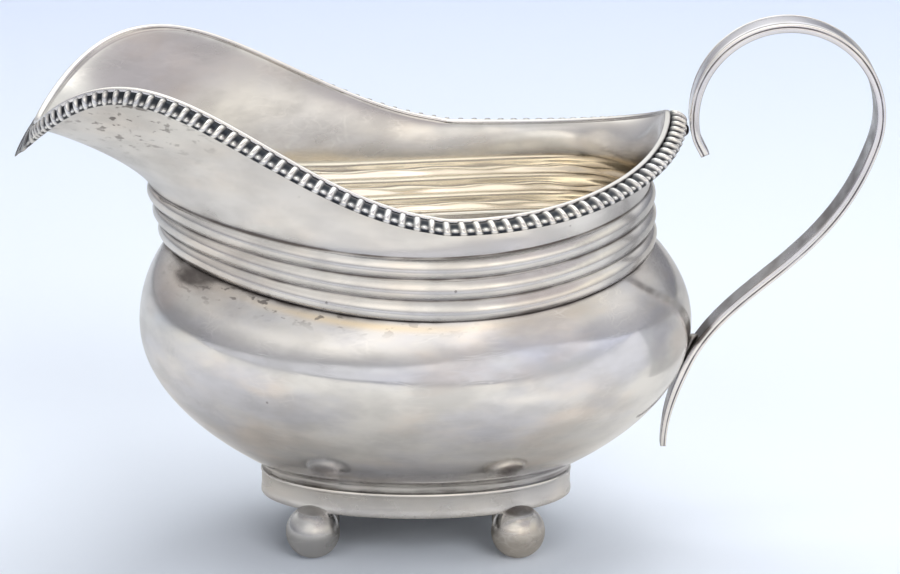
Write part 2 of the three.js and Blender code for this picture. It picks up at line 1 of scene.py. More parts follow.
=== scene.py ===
# %% [markdown]
# # A silver cream jug on four ball feet
# The jug is raised from sheet silver: an oval bowl, a reeded neck that sweeps up into a spout, a collet
# ring with ball feet, a gadroon border on the rim and one looped strap for a handle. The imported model
# gives the size and place of every piece. Each piece is built again here with finer surfaces, from the
# same curves that the silversmith's drawing would have, and stands for its plainer solid.

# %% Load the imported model
import math
import bmesh
import bpy
import numpy as np
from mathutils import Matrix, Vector


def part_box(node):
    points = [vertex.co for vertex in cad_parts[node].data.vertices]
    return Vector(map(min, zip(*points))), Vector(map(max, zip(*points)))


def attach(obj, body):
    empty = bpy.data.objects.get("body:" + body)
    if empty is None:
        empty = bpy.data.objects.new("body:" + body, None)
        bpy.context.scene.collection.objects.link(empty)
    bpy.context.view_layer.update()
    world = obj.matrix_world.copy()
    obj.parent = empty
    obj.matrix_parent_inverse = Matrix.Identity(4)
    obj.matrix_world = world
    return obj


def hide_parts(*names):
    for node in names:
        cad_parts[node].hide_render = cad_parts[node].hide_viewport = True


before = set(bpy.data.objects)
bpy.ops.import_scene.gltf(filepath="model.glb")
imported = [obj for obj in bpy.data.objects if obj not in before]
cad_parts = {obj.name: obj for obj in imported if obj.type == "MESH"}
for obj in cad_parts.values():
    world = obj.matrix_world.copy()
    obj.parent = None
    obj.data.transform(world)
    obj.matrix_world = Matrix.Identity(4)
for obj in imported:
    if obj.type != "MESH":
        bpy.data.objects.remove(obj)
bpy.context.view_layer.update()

MM = 0.001
ring_low, ring_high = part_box("collet_ring")
JUG_MIDDLE = (ring_low[0] + ring_high[0]) / 2
print("nodes:", len(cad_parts), "middle of the bowl at x =", round(JUG_MIDDLE / MM, 2), "mm")

# %% [markdown]
# ## Camera
# The photograph looks slightly down on the jug's side. Perspective is weak, so the camera stands well
# back and uses a long lens. It looks along +Y from 60 cm away, 17 degrees above the level of the table.

# %% Camera
CAMERA_DISTANCE = 600 * MM
CAMERA_ELEVATION = math.radians(17.25)
CAMERA_LENS = 144.48
SENSOR_WIDTH = 36
AIM_TOWARDS_HANDLE = 5.75 * MM
AIM_HEIGHT = 43.28 * MM
CAMERA_AIM = Vector((JUG_MIDDLE + AIM_TOWARDS_HANDLE, 0, AIM_HEIGHT))


def aim(thing, target):
    """Turn a camera or lamp so that it looks at a point."""
    thing.rotation_euler = (Vector(target) - thing.location).to_track_quat("-Z", "Y").to_euler()


camera_data = bpy.data.cameras.new("camera")
camera_data.lens = CAMERA_LENS
camera_data.sensor_width = SENSOR_WIDTH
camera_data.clip_start = 10 * MM
camera = bpy.data.objects.new("camera", camera_data)
bpy.context.scene.collection.objects.link(camera)
camera.location = CAMERA_AIM + CAMERA_DISTANCE * Vector(
    (0, -math.cos(CAMERA_ELEVATION), math.sin(CAMERA_ELEVATION)))
aim(camera, CAMERA_AIM)
bpy.context.scene.camera = camera
print("camera at", [round(value, 3) for value in camera.location])

# %% [markdown]
# ## Easing and fading
# Shapes and wear are both drawn with a few plain curves: a blend between two values, a step with level
# ends, a soft bump round a place and a fade away from a seam. They work on whole arrays of places at
# once, because that keeps fine meshes quick to make.

# %% Easing and fading
def lerp(low, high, share):
    return low + (high - low) * share


def ease(value, low, high):
    """Smooth step from 0 to 1 with level ends."""
    share = np.clip((value - low) / (high - low), 0, 1)
    return (1 - np.cos(np.pi * share)) / 2


def bump(value, middle, half):
    """Soft bump of height 1 round a middle."""
    return np.exp(-((value - middle) / half) ** 2)


def fade(distance, reach):
    """1 at a seam, dying away from it."""
    return np.exp(-distance / reach)


print("half way:", ease(0.5, 0, 1), "one reach from a seam:", round(float(fade(1, 1)), 3))

# %% [markdown]
# ## Ovals of the jug
# Every sheet of the jug is swept round an oval, so one number, the turn, says where on the oval a point
# lies: 0 at the handle, half a turn at the spout. The bowl and the girdle are a little egg-shaped, with
# the fuller end at the handle. All sizes are in millimetres until a mesh is made.

# %% Ovals of the jug
RING_HALF_LENGTH = 26
RING_HALF_WIDTH = 14.6
BODY_HALF_LENGTH = 45.9
BODY_HALF_WIDTH = 33.6
BODY_EGG = 0.08
# Half length, half width and shift towards the handle
GIRDLE_FOOT_OVAL = (40.2, 31, -1)
GIRDLE_HEAD_OVAL = (41.2, 29.2, -2.5)
GIRDLE_EGG = 0.22
GIRDLE_DIP = 4.6
SMALL_TURN = 1e-3


def oval(turn, half_length, half_width, shift=0.0, egg=0.0):
    cos = np.cos(turn)
    return np.stack([shift + half_length * cos, half_width * np.sin(turn) * (1 + egg * cos)], axis=-1)


def seat_plan(turn):
    return oval(turn, RING_HALF_LENGTH, RING_HALF_WIDTH)


def equator_plan(turn):
    return oval(turn, BODY_HALF_LENGTH, BODY_HALF_WIDTH, 0, BODY_EGG)


def girdle_foot_plan(turn):
    return oval(turn, *GIRDLE_FOOT_OVAL, GIRDLE_EGG)


def girdle_head_plan(turn):
    return oval(turn, *GIRDLE_HEAD_OVAL, GIRDLE_EGG)


def girdle_dip(turn):
    return GIRDLE_DIP * np.sin(turn) ** 2


def unit(vectors):
    return vectors / np.linalg.norm(vectors, axis=-1, keepdims=True)


def plan_normal(plan, turn):
    """Level outward normal of an oval."""
    along = plan(turn + SMALL_TURN) - plan(turn - SMALL_TURN)
    return unit(np.stack([along[..., 1], -along[..., 0]], axis=-1))


def even_turns(count):
    return np.arange(count) / count * 2 * np.pi


def degrees_from(turn, middle):
    """Degrees between a turn and a place that is given in degrees, the short way round."""
    return (np.degrees(turn) - middle + 180) % 360 - 180


print("widest oval:", 2 * BODY_HALF_LENGTH, "by about", 2 * BODY_HALF_WIDTH, "mm")

# %% [markdown]
# ## From arrays to meshes
# A loft is a grid of points whose rows follow one another. It is joined round its columns, and its two
# ends are either joined to each other, as in a tube bent into a hoop, or closed with a fan. Plain quads
# keep the shading smooth, and recalculating the normals makes every face look outwards.

# %% Lofted skins
def new_piece(name, points, faces):
    """Smooth object from points in millimetres, measured from the bowl's middle."""
    mesh = bpy.data.meshes.new(name)
    coords = np.asarray(points, dtype=float).reshape(-1, 3) * MM
    coords[:, 0] += JUG_MIDDLE
    mesh.from_pydata(coords.tolist(), [], faces)
    work = bmesh.new()
    work.from_mesh(mesh)
    bmesh.ops.recalc_face_normals(work, faces=work.faces)
    work.to_mesh(mesh)
    work.free()
    mesh.polygons.foreach_set("use_smooth", [True] * len(mesh.polygons))
    piece = bpy.data.objects.new(name, mesh)
    bpy.context.scene.collection.objects.link(piece)
    return piece


def loft_faces(rows, columns, looped):
    spans = rows if looped else rows - 1
    row, column = np.meshgrid(np.arange(spans), np.arange(columns), indexing="ij")
    ahead = (column + 1) % columns
    above = (row + 1) % rows
    quads = np.stack([row * columns + column, row * columns + ahead,
                      above * columns + ahead, above * columns + column], axis=-1)
    return quads.reshape(-1, 4).tolist()


def loft(name, rings, looped=False):
    """Skin over rings of points; open ends are closed with fans."""
    rings = np.asarray(rings, dtype=float)
    rows, columns = rings.shape[:2]
    points = rings.reshape(-1, 3)
    faces = loft_faces(rows, columns, looped)
    if not looped:
        ends = np.stack([rings[0].mean(axis=0), rings[-1].mean(axis=0)])
        points = np.concatenate([points, ends])
        for middle, first in ((len(points) - 2, 0), (len(points) - 1, (rows - 1) * columns)):
            for column in range(columns):
                faces.append([middle, first + column, first + (column + 1) % columns])
    return new_piece(name, points, faces)


def set_attribute(piece, name, values):
    """Store one number per point, for the materials to read; fan points take the last one."""
    mesh = piece.data
    flat = np.asarray(values, dtype=float).reshape(-1)
    padded = np.full(len(mesh.vertices), flat[-1])
    padded[:len(flat)] = flat
    attribute = mesh.attributes.new(name, "FLOAT", "POINT")
    attribute.data.foreach_set("value", padded)


def set_inwards(rings, depth, level_rows=()):
    """The same surface, moved in by the gauge of the sheet."""
    ahead = np.roll(rings, -1, axis=1) - np.roll(rings, 1, axis=1)
    up = np.gradient(rings, axis=0)
    normal = np.cross(ahead, up)
    for row in level_rows:
        normal[row, :, 2] = 0
    return rings - unit(normal) * depth


print("faces of a hoop of 4 rows and 6 columns:", len(loft_faces(4, 6, True)))

# %% [markdown]
# ## Bowl
# The bowl is one sheet, widest at its equator and drawn in to the collet ring below and to the girdle
# above. A revolved profile can't be used because the jug is oval, so the profile is blended from one
# oval to the next along a quarter of a circle. The inside is a real surface, since the mouth shows it.

# %% Bowl
SHEET = 0.9
FINE_COLUMNS = 320
LOWER_ROWS, UPPER_ROWS = 56, 40
BOWL_FOOT = 12.2
BOWL_ARC = 13.2
EQUATOR = 37.8
GIRDLE_FOOT = 51.8
GIRDLE_HEAD = 61.8
LOWER_TURN = math.radians(25)
UPPER_TURN = math.radians(32)
SEAT_HEIGHTS = (BOWL_FOOT - 0.3, BOWL_FOOT + 0.5)
FLOOR_SCALES = (0.05, 0.3, 0.55, 0.8, 0.93)
UNDERSIDE_HOLLOW = 0.5
FLOOR_DISHING = 0.3


def bowl_point(turn, rise_angle):
    full_turn = LOWER_TURN if rise_angle < 0 else UPPER_TURN
    share = (1 - math.cos(rise_angle)) / (1 - math.cos(full_turn))
    rise = math.sin(abs(rise_angle)) / math.sin(full_turn)
    if rise_angle < 0:
        end = seat_plan(turn)
        end_height = np.full_like(turn, BOWL_ARC)
    else:
        end = girdle_foot_plan(turn)
        end_height = GIRDLE_FOOT - girdle_dip(turn)
    plan = lerp(equator_plan(turn), end, share)
    return np.concatenate([plan, lerp(EQUATOR, end_height, rise)[..., None]], axis=-1)


def seat_ring(turn, scale, height):
    plan = seat_plan(turn) * scale
    return np.concatenate([plan, np.full_like(turn, height)[..., None]], axis=-1)


turns = even_turns(FINE_COLUMNS)
arc_rows = np.concatenate([np.linspace(-LOWER_TURN, 0, LOWER_ROWS),
                           np.linspace(0, UPPER_TURN, UPPER_ROWS)[1:]])
bowl_outer = np.stack([bowl_point(turns, angle) for angle in arc_rows])
bowl_inner = set_inwards(bowl_outer, SHEET, [len(arc_rows) - 1])
underside = np.stack([seat_ring(turns, scale, BOWL_FOOT + UNDERSIDE_HOLLOW * (1 - scale ** 2))
                      for scale in FLOOR_SCALES])
seat = np.stack([seat_ring(turns, 1, height) for height in SEAT_HEIGHTS])
floor_height = bowl_inner[0, :, 2].mean()
inner_floor = np.stack([seat_ring(turns, scale * FLOOR_SCALES[-1], floor_height - FLOOR_DISHING * (1 - scale))
                        for scale in reversed(FLOOR_SCALES)])
bowl = loft("bowl", np.concatenate([underside, seat, bowl_outer, bowl_inner[::-1], inner_floor]))
print("bowl:", len(bowl.data.polygons), "faces")

# %% [markdown]
# ### Wear on the bowl
# Old silver is dark where a cloth can't reach and bright where hands rub it. Each kind of wear is one
# number per point of the mesh, which the materials read by name: the grime one is black tarnish, the film
# one a grey bloom, and on other pieces these two also carry painted shade; rubbed is a bright polish,
# bruised a zone of small scars, gilt the plating inside, and amber its deeper tone and the old solder under
# the girdle. Broad wear fades away from a seam. Single patches are soft ovals in a list.

# %% Wear on the bowl
below_girdle = (GIRDLE_FOOT - girdle_dip(turns))[None] - bowl_outer[..., 2]
above_ring = bowl_outer[..., 2] - BOWL_ARC
bowl_height = bowl_outer[..., 2]
spout_side = ease(-np.cos(turns), -0.1, 0.5)[None]
HIDDEN_GRIME = 0.6


def spots(distance, *patches):
    """Each patch: strength, turn and half turn in degrees, then distance and half distance in millimetres."""
    return sum(strength * bump(degrees_from(turns, turn), 0, half_turn)[None] * bump(distance, middle, half)
               for strength, turn, half_turn, middle, half in patches)


def mark_bowl(name, outer=0.0, hidden=0.0, inner=0.0, floor=0.0):
    """Store wear for the hidden foot, the outside, the inner wall and the floor."""
    parts = ((hidden, len(underside) + len(seat)), (outer, len(bowl_outer)), (inner, len(bowl_inner)),
             (floor, len(inner_floor)))
    rows = [np.broadcast_to(value, (count, FINE_COLUMNS)) for value, count in parts]
    set_attribute(bowl, name, np.clip(np.concatenate(rows), 0, 1))


grime_and_shade = 0.95 * fade(below_girdle, 0.38) + 0.35 * spout_side * fade(below_girdle, 2.2)
grime_and_shade = grime_and_shade + spots(below_girdle, (1.2, 211, 8, 1.3, 1.5)) + spots(above_ring, (0.5, 250, 7, 1.2, 0.7))
mark_bowl("grime_and_shade", grime_and_shade + 0.25 * bump(above_ring, 2.4, 0.4), hidden=HIDDEN_GRIME, inner=0.1, floor=0.1)
film_and_shade = 0.5 * fade(below_girdle, 1) + 0.25 * fade(above_ring, 1)
film_and_shade = film_and_shade + spots(below_girdle, (0.35, 205, 24, 3, 5), (0.6, 306, 14, 1.2, 1.6), (0.4, 338, 12, 3, 4))
mark_bowl("film_and_shade", film_and_shade, inner=0.3, floor=1)
mark_bowl("rubbed", spots(bowl_height, (1, 294, 6, 34.4, 0.8), (0.2, 225, 10, 31, 2.5))
          + spots(above_ring, (0.7, 288, 6, 1.4, 0.5)))
mark_bowl("gilt", inner=1, floor=1)
mark_bowl("amber", spots(below_girdle, (0.8, 258, 26, 1, 0.6)))
mark_bowl("bruised", spots(below_girdle, (1, 240, 30, 0.6, 1.5), (0.5, 215, 14, 2.2, 1.6)))
print("mean film on the bowl's outside:", round(float(film_and_shade.mean()), 3))

# %% [markdown]
# ## The rim's curve
# The rim is low at the sides, high at the handle and highest at the crests beside the spout. Seen from
# above it is an oval at the handle's end and runs out to the spout at the other. Neck, lip and border
# all hang on this one curve. Each of them is given as a section, out from the jug and up.

# %% The rim's curve
RIM_WIDEST_AT = 3.3
RIM_REAR_REACH = 41.8 - RIM_WIDEST_AT
SPOUT_REACH = 62.3 + RIM_WIDEST_AT
RIM_HALF_WIDTH = 31.6
LOW_ANGLE = math.radians(85)
CREST_ANGLE = math.radians(137)
REAR_SOFTNESS = math.radians(4)
REAR_RISE, LOW_RISE, CREST_RISE, SPOUT_RISE = 11.5, 2.1, 21, 10.4
SPOUT_PINCH = 0.07
SPOUT_FULLNESS = 0.36
LIP_DROOP = math.radians(18)
LIP_DROOP_SPREAD = 0.3


def fold_angle(turn):
    """Turn from the handle, the same on both sides."""
    wrapped = np.mod(turn, 2 * np.pi)
    return np.minimum(wrapped, 2 * np.pi - wrapped)


def softened(angle):
    return np.hypot(angle, REAR_SOFTNESS) - REAR_SOFTNESS


def rim_rise(turn):
    angle = fold_angle(turn)
    rear = lerp(REAR_RISE, LOW_RISE, np.sin(np.pi / 2 * np.clip(softened(angle) / softened(LOW_ANGLE), 0, 1)))
    climb = lerp(LOW_RISE, CREST_RISE, ease(angle, LOW_ANGLE, CREST_ANGLE))
    fall = lerp(CREST_RISE, SPOUT_RISE, ease(angle, CREST_ANGLE, np.pi))
    return np.where(angle < LOW_ANGLE, rear, np.where(angle < CREST_ANGLE, climb, fall))


def rim_edge(turn):
    cos = np.cos(turn)
    reach = np.where(cos < 0, SPOUT_REACH, RIM_REAR_REACH)
    shape = np.where(cos < 0, 1 - SPOUT_PINCH * np.sin(2 * turn) ** 2 + SPOUT_FULLNESS * cos ** 4, 1)
    return np.stack([RIM_WIDEST_AT + reach * cos, RIM_HALF_WIDTH * np.sin(turn) * shape,
                     GIRDLE_HEAD + rim_rise(turn)], axis=-1)


def rim_point(turn, out, up, further_droop=0.0):
    """Point of the rim's section: out from the jug, up along the section's own upright."""
    along = unit(rim_edge(turn + SMALL_TURN) - rim_edge(turn - SMALL_TURN))
    outward = unit(np.stack([along[..., 1], -along[..., 0], np.zeros_like(along[..., 0])], axis=-1))
    upright = unit(np.cross(outward, along))
    upright = np.where(upright[..., 2:] < 0, -upright, upright)
    droop = LIP_DROOP * bump(fold_angle(turn), np.pi, LIP_DROOP_SPREAD) + further_droop
    level = out * np.cos(droop) + up * np.sin(droop)
    raised = up * np.cos(droop) - out * np.sin(droop)
    return rim_edge(turn) + outward * level[..., None] + upright * raised[..., None]


print("rim above the girdle:", rim_rise(np.radians([0, 85, 137, 180])).round(1), "mm")

# %% [markdown]
# ## Girdle, neck and spout
# A second sheet carries three half-round reeds and then flares up to the rim. The reeds are rolled into
# the sheet, so they show inside as well, softer and slightly wavy from the hammer. Above them the neck
# is a blend between the girdle's head and the rim.

# %% Girdle, neck and spout
REED_COUNT = 3
REED_DEPTH = 0.8
REED_FULLNESS = 0.8
INNER_REED_DEPTH = 0.6
INNER_REED_FULLNESS = 1.1
# Depth in millimetres, waves round the jug and how far each wave leans along the reeds
HAMMER_WAVES = ((0.11, 9, 7), (0.06, 22, -11))
GIRDLE_HEIGHT = GIRDLE_HEAD - GIRDLE_FOOT
ROWS_PER_REED = 12
NECK_ROW_COUNT = 60
# How late the neck flares out and how early it climbs, at the jug's sides and at the spout
FLARE_AT_SIDES, FLARE_AT_SPOUT = 1.5, 1.3
CLIMB_AT_SIDES, CLIMB_AT_SPOUT = 1.3, 1.15
SPOUT_BLEND = 4
# Where the sheet ends under the lip: out and up in the rim's section
OUTER_EDGE = (-0.2, -1.2)
INNER_EDGE = (-1.08, -0.33)


def girdle_point(turn, share, depth=REED_DEPTH, fullness=REED_FULLNESS):
    plan = lerp(girdle_foot_plan(turn), girdle_head_plan(turn), share)
    across_reed = (share * REED_COUNT) % 1
    bulge = depth * math.sin(math.pi * across_reed) ** fullness
    plan = plan + plan_normal(girdle_head_plan, turn) * bulge
    height = GIRDLE_FOOT + GIRDLE_HEIGHT * share - girdle_dip(turn)
    return np.concatenate([plan, height[..., None]], axis=-1)


def neck_point(turn, share):
    head = girdle_point(turn, 1)
    top = rim_point(turn, *OUTER_EDGE)
    spout = ((1 - np.cos(turn)) / 2) ** SPOUT_BLEND
    flare = (share ** lerp(FLARE_AT_SIDES, FLARE_AT_SPOUT, spout))[..., None]
    climb = (1 - (1 - share) ** lerp(CLIMB_AT_SIDES, CLIMB_AT_SPOUT, spout))[..., None]
    return np.concatenate([lerp(head[..., :2], top[..., :2], flare),
                           lerp(head[..., 2:], top[..., 2:], climb)], axis=-1)


def inner_reed(turn, share):
    waves = sum(depth * np.sin(count * turn + lean * share) for depth, count, lean in HAMMER_WAVES)
    return girdle_point(turn, share, INNER_REED_DEPTH + waves[:, None], INNER_REED_FULLNESS)


reed_rows = np.linspace(0, 1, REED_COUNT * ROWS_PER_REED + 1)
neck_rows = np.linspace(0, 1, NECK_ROW_COUNT)[1:]
flare_rings = [neck_point(turns, share) for share in neck_rows]
neck_outer = np.stack([girdle_point(turns, share) for share in reed_rows] + flare_rings)
soft_reeds = np.stack([inner_reed(turns, share) for share in reed_rows] + flare_rings)
neck_inner = set_inwards(soft_reeds, SHEET, [0])
neck_inner[-1] = rim_point(turns, *INNER_EDGE)
neck = loft("neck", np.concatenate([neck_outer, neck_inner[::-1]]), looped=True)
print("neck:", len(neck.data.polygons), "faces")

# %% [markdown]
# ### Wear on the neck
# The grooves between the reeds and the lower flank of each reed are painted dark as shade, and so is a band
# under the lowest reed on one side. The inside is gilt round the reeds, deeper in colour towards the handle,
# and rubbed back to silver above. Its far side is painted darker as shade, and small scars lie under the
# spout. Each row of the mesh gets one number, multiplied by one for each turn, so that a band and its
# fading round the jug can be set apart.

# %% Wear on the neck
NECK_RISE = 14
across_reed = reed_rows * REED_COUNT % 1
groove = np.minimum(across_reed, 1 - across_reed) * GIRDLE_HEIGHT / REED_COUNT
above_joint = neck_rows * NECK_RISE
turn_degrees = np.degrees(fold_angle(turns))[None]
far_side = lerp(0.3, 1, ease(np.sin(turns), -0.3, 0.3))[None]


def neck_column(on_reeds, above):
    """One number per row: first for the reeds, then for the flare above them."""
    return np.concatenate([on_reeds + 0 * reed_rows, above + 0 * neck_rows])[:, None]


def mark_neck(name, outer=0.0, inner=0.0):
    outer, inner = (np.broadcast_to(side, neck_outer.shape[:2]) for side in (outer, inner))
    set_attribute(neck, name, np.concatenate([outer, inner[::-1]]))


# Painted shade: the grooves between the reeds and the joint at the foot of the flare are darkened like
# tarnish
groove_shade = 0.95 * neck_column(bump(groove, 0, 0.26), bump(above_joint, 0, 0.3))
creeping = neck_column(0, 0.4 * fade(above_joint, 1.6)) * spout_side
# Painted shade under the lowest reed, round 298 degrees
shade_under_reeds = neck_column(0.75 * (1 - ease(reed_rows, 0.04, 0.13)), 0) * bump(np.degrees(turns), 298, 24)[None]
mark_neck("grime_and_shade", np.maximum(np.maximum(groove_shade, creeping), shade_under_reeds), 0.15 * groove_shade)

# Painted shade: the lower flank of each reed and the foot of the flare above the reeds are greyed like a film
reed_flank_shade = neck_column(0.85 * (1 - ease(across_reed, 0.02, 0.42)) + 0.3 * ease(across_reed, 0.9, 1),
                         0.3 * fade(above_joint, 1.5))
above_reeds = neck_column(0, ease(neck_rows, 0.02, 0.15))
# Painted shade inside the neck: above the reeds it is greyed, mostly on the far side and towards the spout
far_inside_shade = far_side * (0.25 * ease(turn_degrees, 55, 80) + 0.3 * bump(turn_degrees, 92, 14)
                     + 0.5 * ease(turn_degrees, 150, 168))
mark_neck("film_and_shade", np.maximum(reed_flank_shade, 0.1), above_reeds * far_inside_shade)

bright_inside = np.maximum(1 - ease(turn_degrees, 40, 75), 1.4 * (1 - far_side))
mark_neck("rubbed", above_reeds * 0.5 * bump(np.degrees(turns), 262, 32)[None], above_reeds * bright_inside)

gilding = neck_column(1, 1 - ease(neck_rows, 0, 0.12))
mark_neck("gilt", inner=gilding)
mark_neck("amber", inner=0.85 * gilding * bump(turn_degrees, 0, 82))
mark_neck("bruised", neck_column(0, ease(neck_rows, 0.3, 0.7)) * bump(np.degrees(turns), 214, 16)[None])
print("mean gilding inside the neck:", round(float(gilding.mean()), 2))

# %% [markdown]
# ## Collet ring
# The ring is a low upright band with a faint swelling near its foot and a small step where the bowl
# sits on it. It is a section swept round the seat oval. It has darkened where the feet are soldered on.

# %% Collet ring
RING_FOOT = 7.7
FOOT_DEGREES = 49
RING_SECTION = [(0, 0), (0.06, 0.05), (0.1, 0.18), (0.11, 0.45), (0.08, 0.8), (0.03, 1.1), (0, 1.4), (0, 2.4),
                (0, 3.5), (0.04, 3.65), (0.12, 3.82), (0.13, 3.95), (0.08, 4.08), (0, 4.2), (-0.12, 4.6),
                (-0.7, 4.6), (-1, 4.2), (-1, 0.1), (-0.9, 0)]


def ring_row(turn, out, height):
    plan = seat_plan(turn) + plan_normal(seat_plan, turn) * out
    return np.concatenate([plan, np.full_like(turn, RING_FOOT + height)[..., None]], axis=-1)


ring = loft("collet", np.stack([ring_row(turns, out, height) for out, height in RING_SECTION]), looped=True)
ring_heights = np.array([height for out, height in RING_SECTION])[:, None]
foot_turns = (FOOT_DEGREES, 180 - FOOT_DEGREES, 180 + FOOT_DEGREES, 360 - FOOT_DEGREES)
by_a_foot = sum(bump(degrees_from(turns, foot), 0, 7) for foot in foot_turns)[None]
set_attribute(ring, "grime_and_shade", 0.85 * by_a_foot * (1 - ease(ring_heights, 0.3, 1.4))
              + 0.6 * ease(ring_heights, 4.2, 4.5) + 0 * by_a_foot)
# Painted shade: the middles of the long sides are greyed, so that the ring's ends read lighter
set_attribute(ring, "film_and_shade", 0.35 * np.sin(turns)[None] ** 6 + 0 * ring_heights)
print("collet ring:", len(ring.data.polygons), "faces")

# %% [markdown]
# ## Lip
# A narrow strip covers the sheet's edge along the whole rim, slightly crowned and with soft corners.
# Hands and cloths keep its crown bright, and the side towards the cream is duller; the end at the handle
# is painted darker as shade.

# %% Lip
LIP_COLUMNS = 560
LIP_SECTION = [(-1.07, -0.3), (-0.2, -1.1), (0, -0.95), (0, -0.12), (-0.05, 0), (-0.25, 0.08), (-0.5, 0.1),
               (-0.7, 0.06), (-0.86, -0.03), (-0.99, -0.16)]
lip_turns = even_turns(LIP_COLUMNS)
lip = loft("lip", np.stack([rim_point(lip_turns, np.full(LIP_COLUMNS, out), np.full(LIP_COLUMNS, up))
                            for out, up in LIP_SECTION]), looped=True)
lip_up = np.array([up for out, up in LIP_SECTION])[:, None]
lip_rear = bump(fold_angle(lip_turns), 0, 0.9)[None]
set_attribute(lip, "rubbed", ease(lip_up, -0.3, 0) * (1 - 0.8 * lip_rear))
# Painted shade: the lip's end at the handle is greyed
set_attribute(lip, "film_and_shade", 0.8 * lip_rear + 0 * lip_up)
print("lip:", len(lip.data.polygons), "faces")

# %% [markdown]
# ## Where the ribs stand
# The border is cast in two lengths that meet at the back and in a folded beak at the spout. Its ribs
# are evenly cut along the edge, closer together at the back and a little closer at the spout. So the
# turns are found by walking along the rim's true length, one share of a rib at a time.

# %% Where the ribs stand
LOBE_PITCH = 2.26
REAR_PITCH = 1.68
SPOUT_PITCH = 2.05
# Turns over which the ribs spread out after the back, and close up again before the spout
SPREADING, CLOSING = (0.25, 1.35), (1.8, 2.4)
STATIONS_PER_LOBE = 14
RIM_SAMPLES = 4001
BORDER_END_GAP = 0.3
BORDER_START = BORDER_END_GAP / RIM_HALF_WIDTH


def lobe_stations(first, last):
    """Turns along the rim at equal shares of a lobe."""
    samples = np.linspace(first, last, RIM_SAMPLES)
    steps = np.linalg.norm(np.diff(rim_edge(samples), axis=0), axis=1)
    middle = (samples[1:] + samples[:-1]) / 2
    pitch = lerp(REAR_PITCH, LOBE_PITCH, ease(middle, *SPREADING))
    pitch = lerp(pitch, SPOUT_PITCH, ease(middle, *CLOSING))
    lobes = np.concatenate([[0], np.cumsum(steps / pitch)])
    count = round(lobes[-1]) * STATIONS_PER_LOBE + 1
    return np.interp(np.linspace(0, lobes[-1], count), lobes, samples)


border_turns = lobe_stations(BORDER_START, np.pi - BORDER_START)
print("ribs on each side:", (len(border_turns) - 1) // STATIONS_PER_LOBE)

# %% [markdown]
# ## Gadroon border
# Narrow ribs stand across the border with hollows between, and each hollow holds a small bead near the
# edge. The relief is real geometry: a smooth section is pushed in between the ribs and out again at a bead.
# The same values say where the hollows are painted dark as reflection and shade and where each bead keeps
# a painted highlight, so that colour and shape can't drift apart.

# %% Relief of the border
RIB_SHARE = 0.40
# In lobes from the middle of a rib: where the hollow starts, where it is deep and where the crown ends
HOLLOW_START, HOLLOW_FULL, CROWN_END = RIB_SHARE / 2 - 0.09, RIB_SHARE / 2 + 0.06, RIB_SHARE / 2 + 0.05
RIB_SHOULDER = 0.1
HOLLOW_DEPTH = 0.5
BEAD_HEIGHT = 0.42
BEAD_SHINE = 1.5
# The bead: half length along the rim in lobes, then its place and half width across the border
BEAD_LENGTH, BEAD_PLACE, BEAD_WIDTH = 0.18, 0.68, 0.09
BORDER_SECTION = np.array([(-0.1, -0.75), (0.1, -0.3), (0.3, -0.12), (0.6, -0.02), (0.95, 0), (1.3, -0.06),
                           (1.65, -0.18), (1.95, -0.34), (2.25, -0.54), (2.5, -0.78), (2.68, -1.02),
                           (2.76, -1.25), (2.74, -1.48), (2.62, -1.68), (2.4, -1.83), (2.1, -1.9),
                           (1.2, -1.9), (0.2, -1.9), (-0.1, -1.7)])
TOP_POINTS = 15
# The first points lie in the corner against the lip, which is always painted dark as shade
CORNER_SHADE = (0.95, 0.95, 0.9, 0.5)
# The underside of the border is half dark
UNDERSIDE_DARKNESS = 0.5


def section_normals(section):
    along = np.gradient(section, axis=0)
    return unit(np.stack([-along[:, 1], along[:, 0]], axis=-1))


def border_relief(phase, index):
    """How far a point of the section is pushed out, and how much painted shade it takes, for every station.
    """
    from_rib = np.minimum(phase, 1 - phase)
    hollow = ease(from_rib, HOLLOW_START, HOLLOW_FULL)
    if index >= TOP_POINTS:
        return 0 * hollow, UNDERSIDE_DARKNESS + 0 * hollow
    across = index / (TOP_POINTS - 1)
    crown = np.sqrt(np.clip(1 - (from_rib / CROWN_END) ** 2, 0, 1))
    bead = bump(phase, 0.5, BEAD_LENGTH) * bump(across, BEAD_PLACE, BEAD_WIDTH)
    relief = -HOLLOW_DEPTH * hollow + BEAD_HEIGHT * bead - RIB_SHOULDER * (1 - crown) * (1 - hollow)
    # Painted dark reflection and shade fill the hollows, and each bead is left bright as a painted highlight
    soot_and_shade = np.clip(hollow * (1 - BEAD_SHINE * bead), 0, 1)
    if index < len(CORNER_SHADE):
        soot_and_shade = np.maximum(soot_and_shade, CORNER_SHADE[index])
    return math.sin(math.pi * across) ** 0.5 * relief, soot_and_shade


print("painted_dark share of a lobe:", round(float(border_relief(np.linspace(0, 1, 100), 7)[1].mean()), 2))

# %% [markdown]
# ### The border's two halves
# One function makes both halves, on one side of the jug or the other. The ribs lean, and the lean turns
# over half way along. Towards the spout the border hangs down against the neck, and its last ribs run
# out into a thin drooping leaf, the beak.

# %% Gadroon border
# The lean in turns, the turn where it changes over, how slowly, and how far from each end it has died
RIB_LEAN, LEAN_MIDDLE, LEAN_CHANGE = 0.016, 1.75, 0.44
LEVEL_AT_BACK, LEVEL_AT_SPOUT = 0.3, 0.4
BORDER_DROOP = math.radians(48)
DROOPING = (math.radians(100), math.radians(150))
SPOUT_SLIMMING = 0.22
SLIMMING = (1.9, 2.6)
# The painted shade of the hollows is a little lighter at the back, and the beak's leaf is painted dark as the
# shade under it
SHADE_AT_BACK = 0.95
SHADE_GROWING = (0.2, 1.1)
LEAF_LIFT = math.radians(9)
BEAK_SPREAD = 0.085
BEAK_STRETCH = 1.61
BEAK_THINNING = 0.55
BEAK_SMOOTHING = 0.6
BEAK_SHADE = 0.8


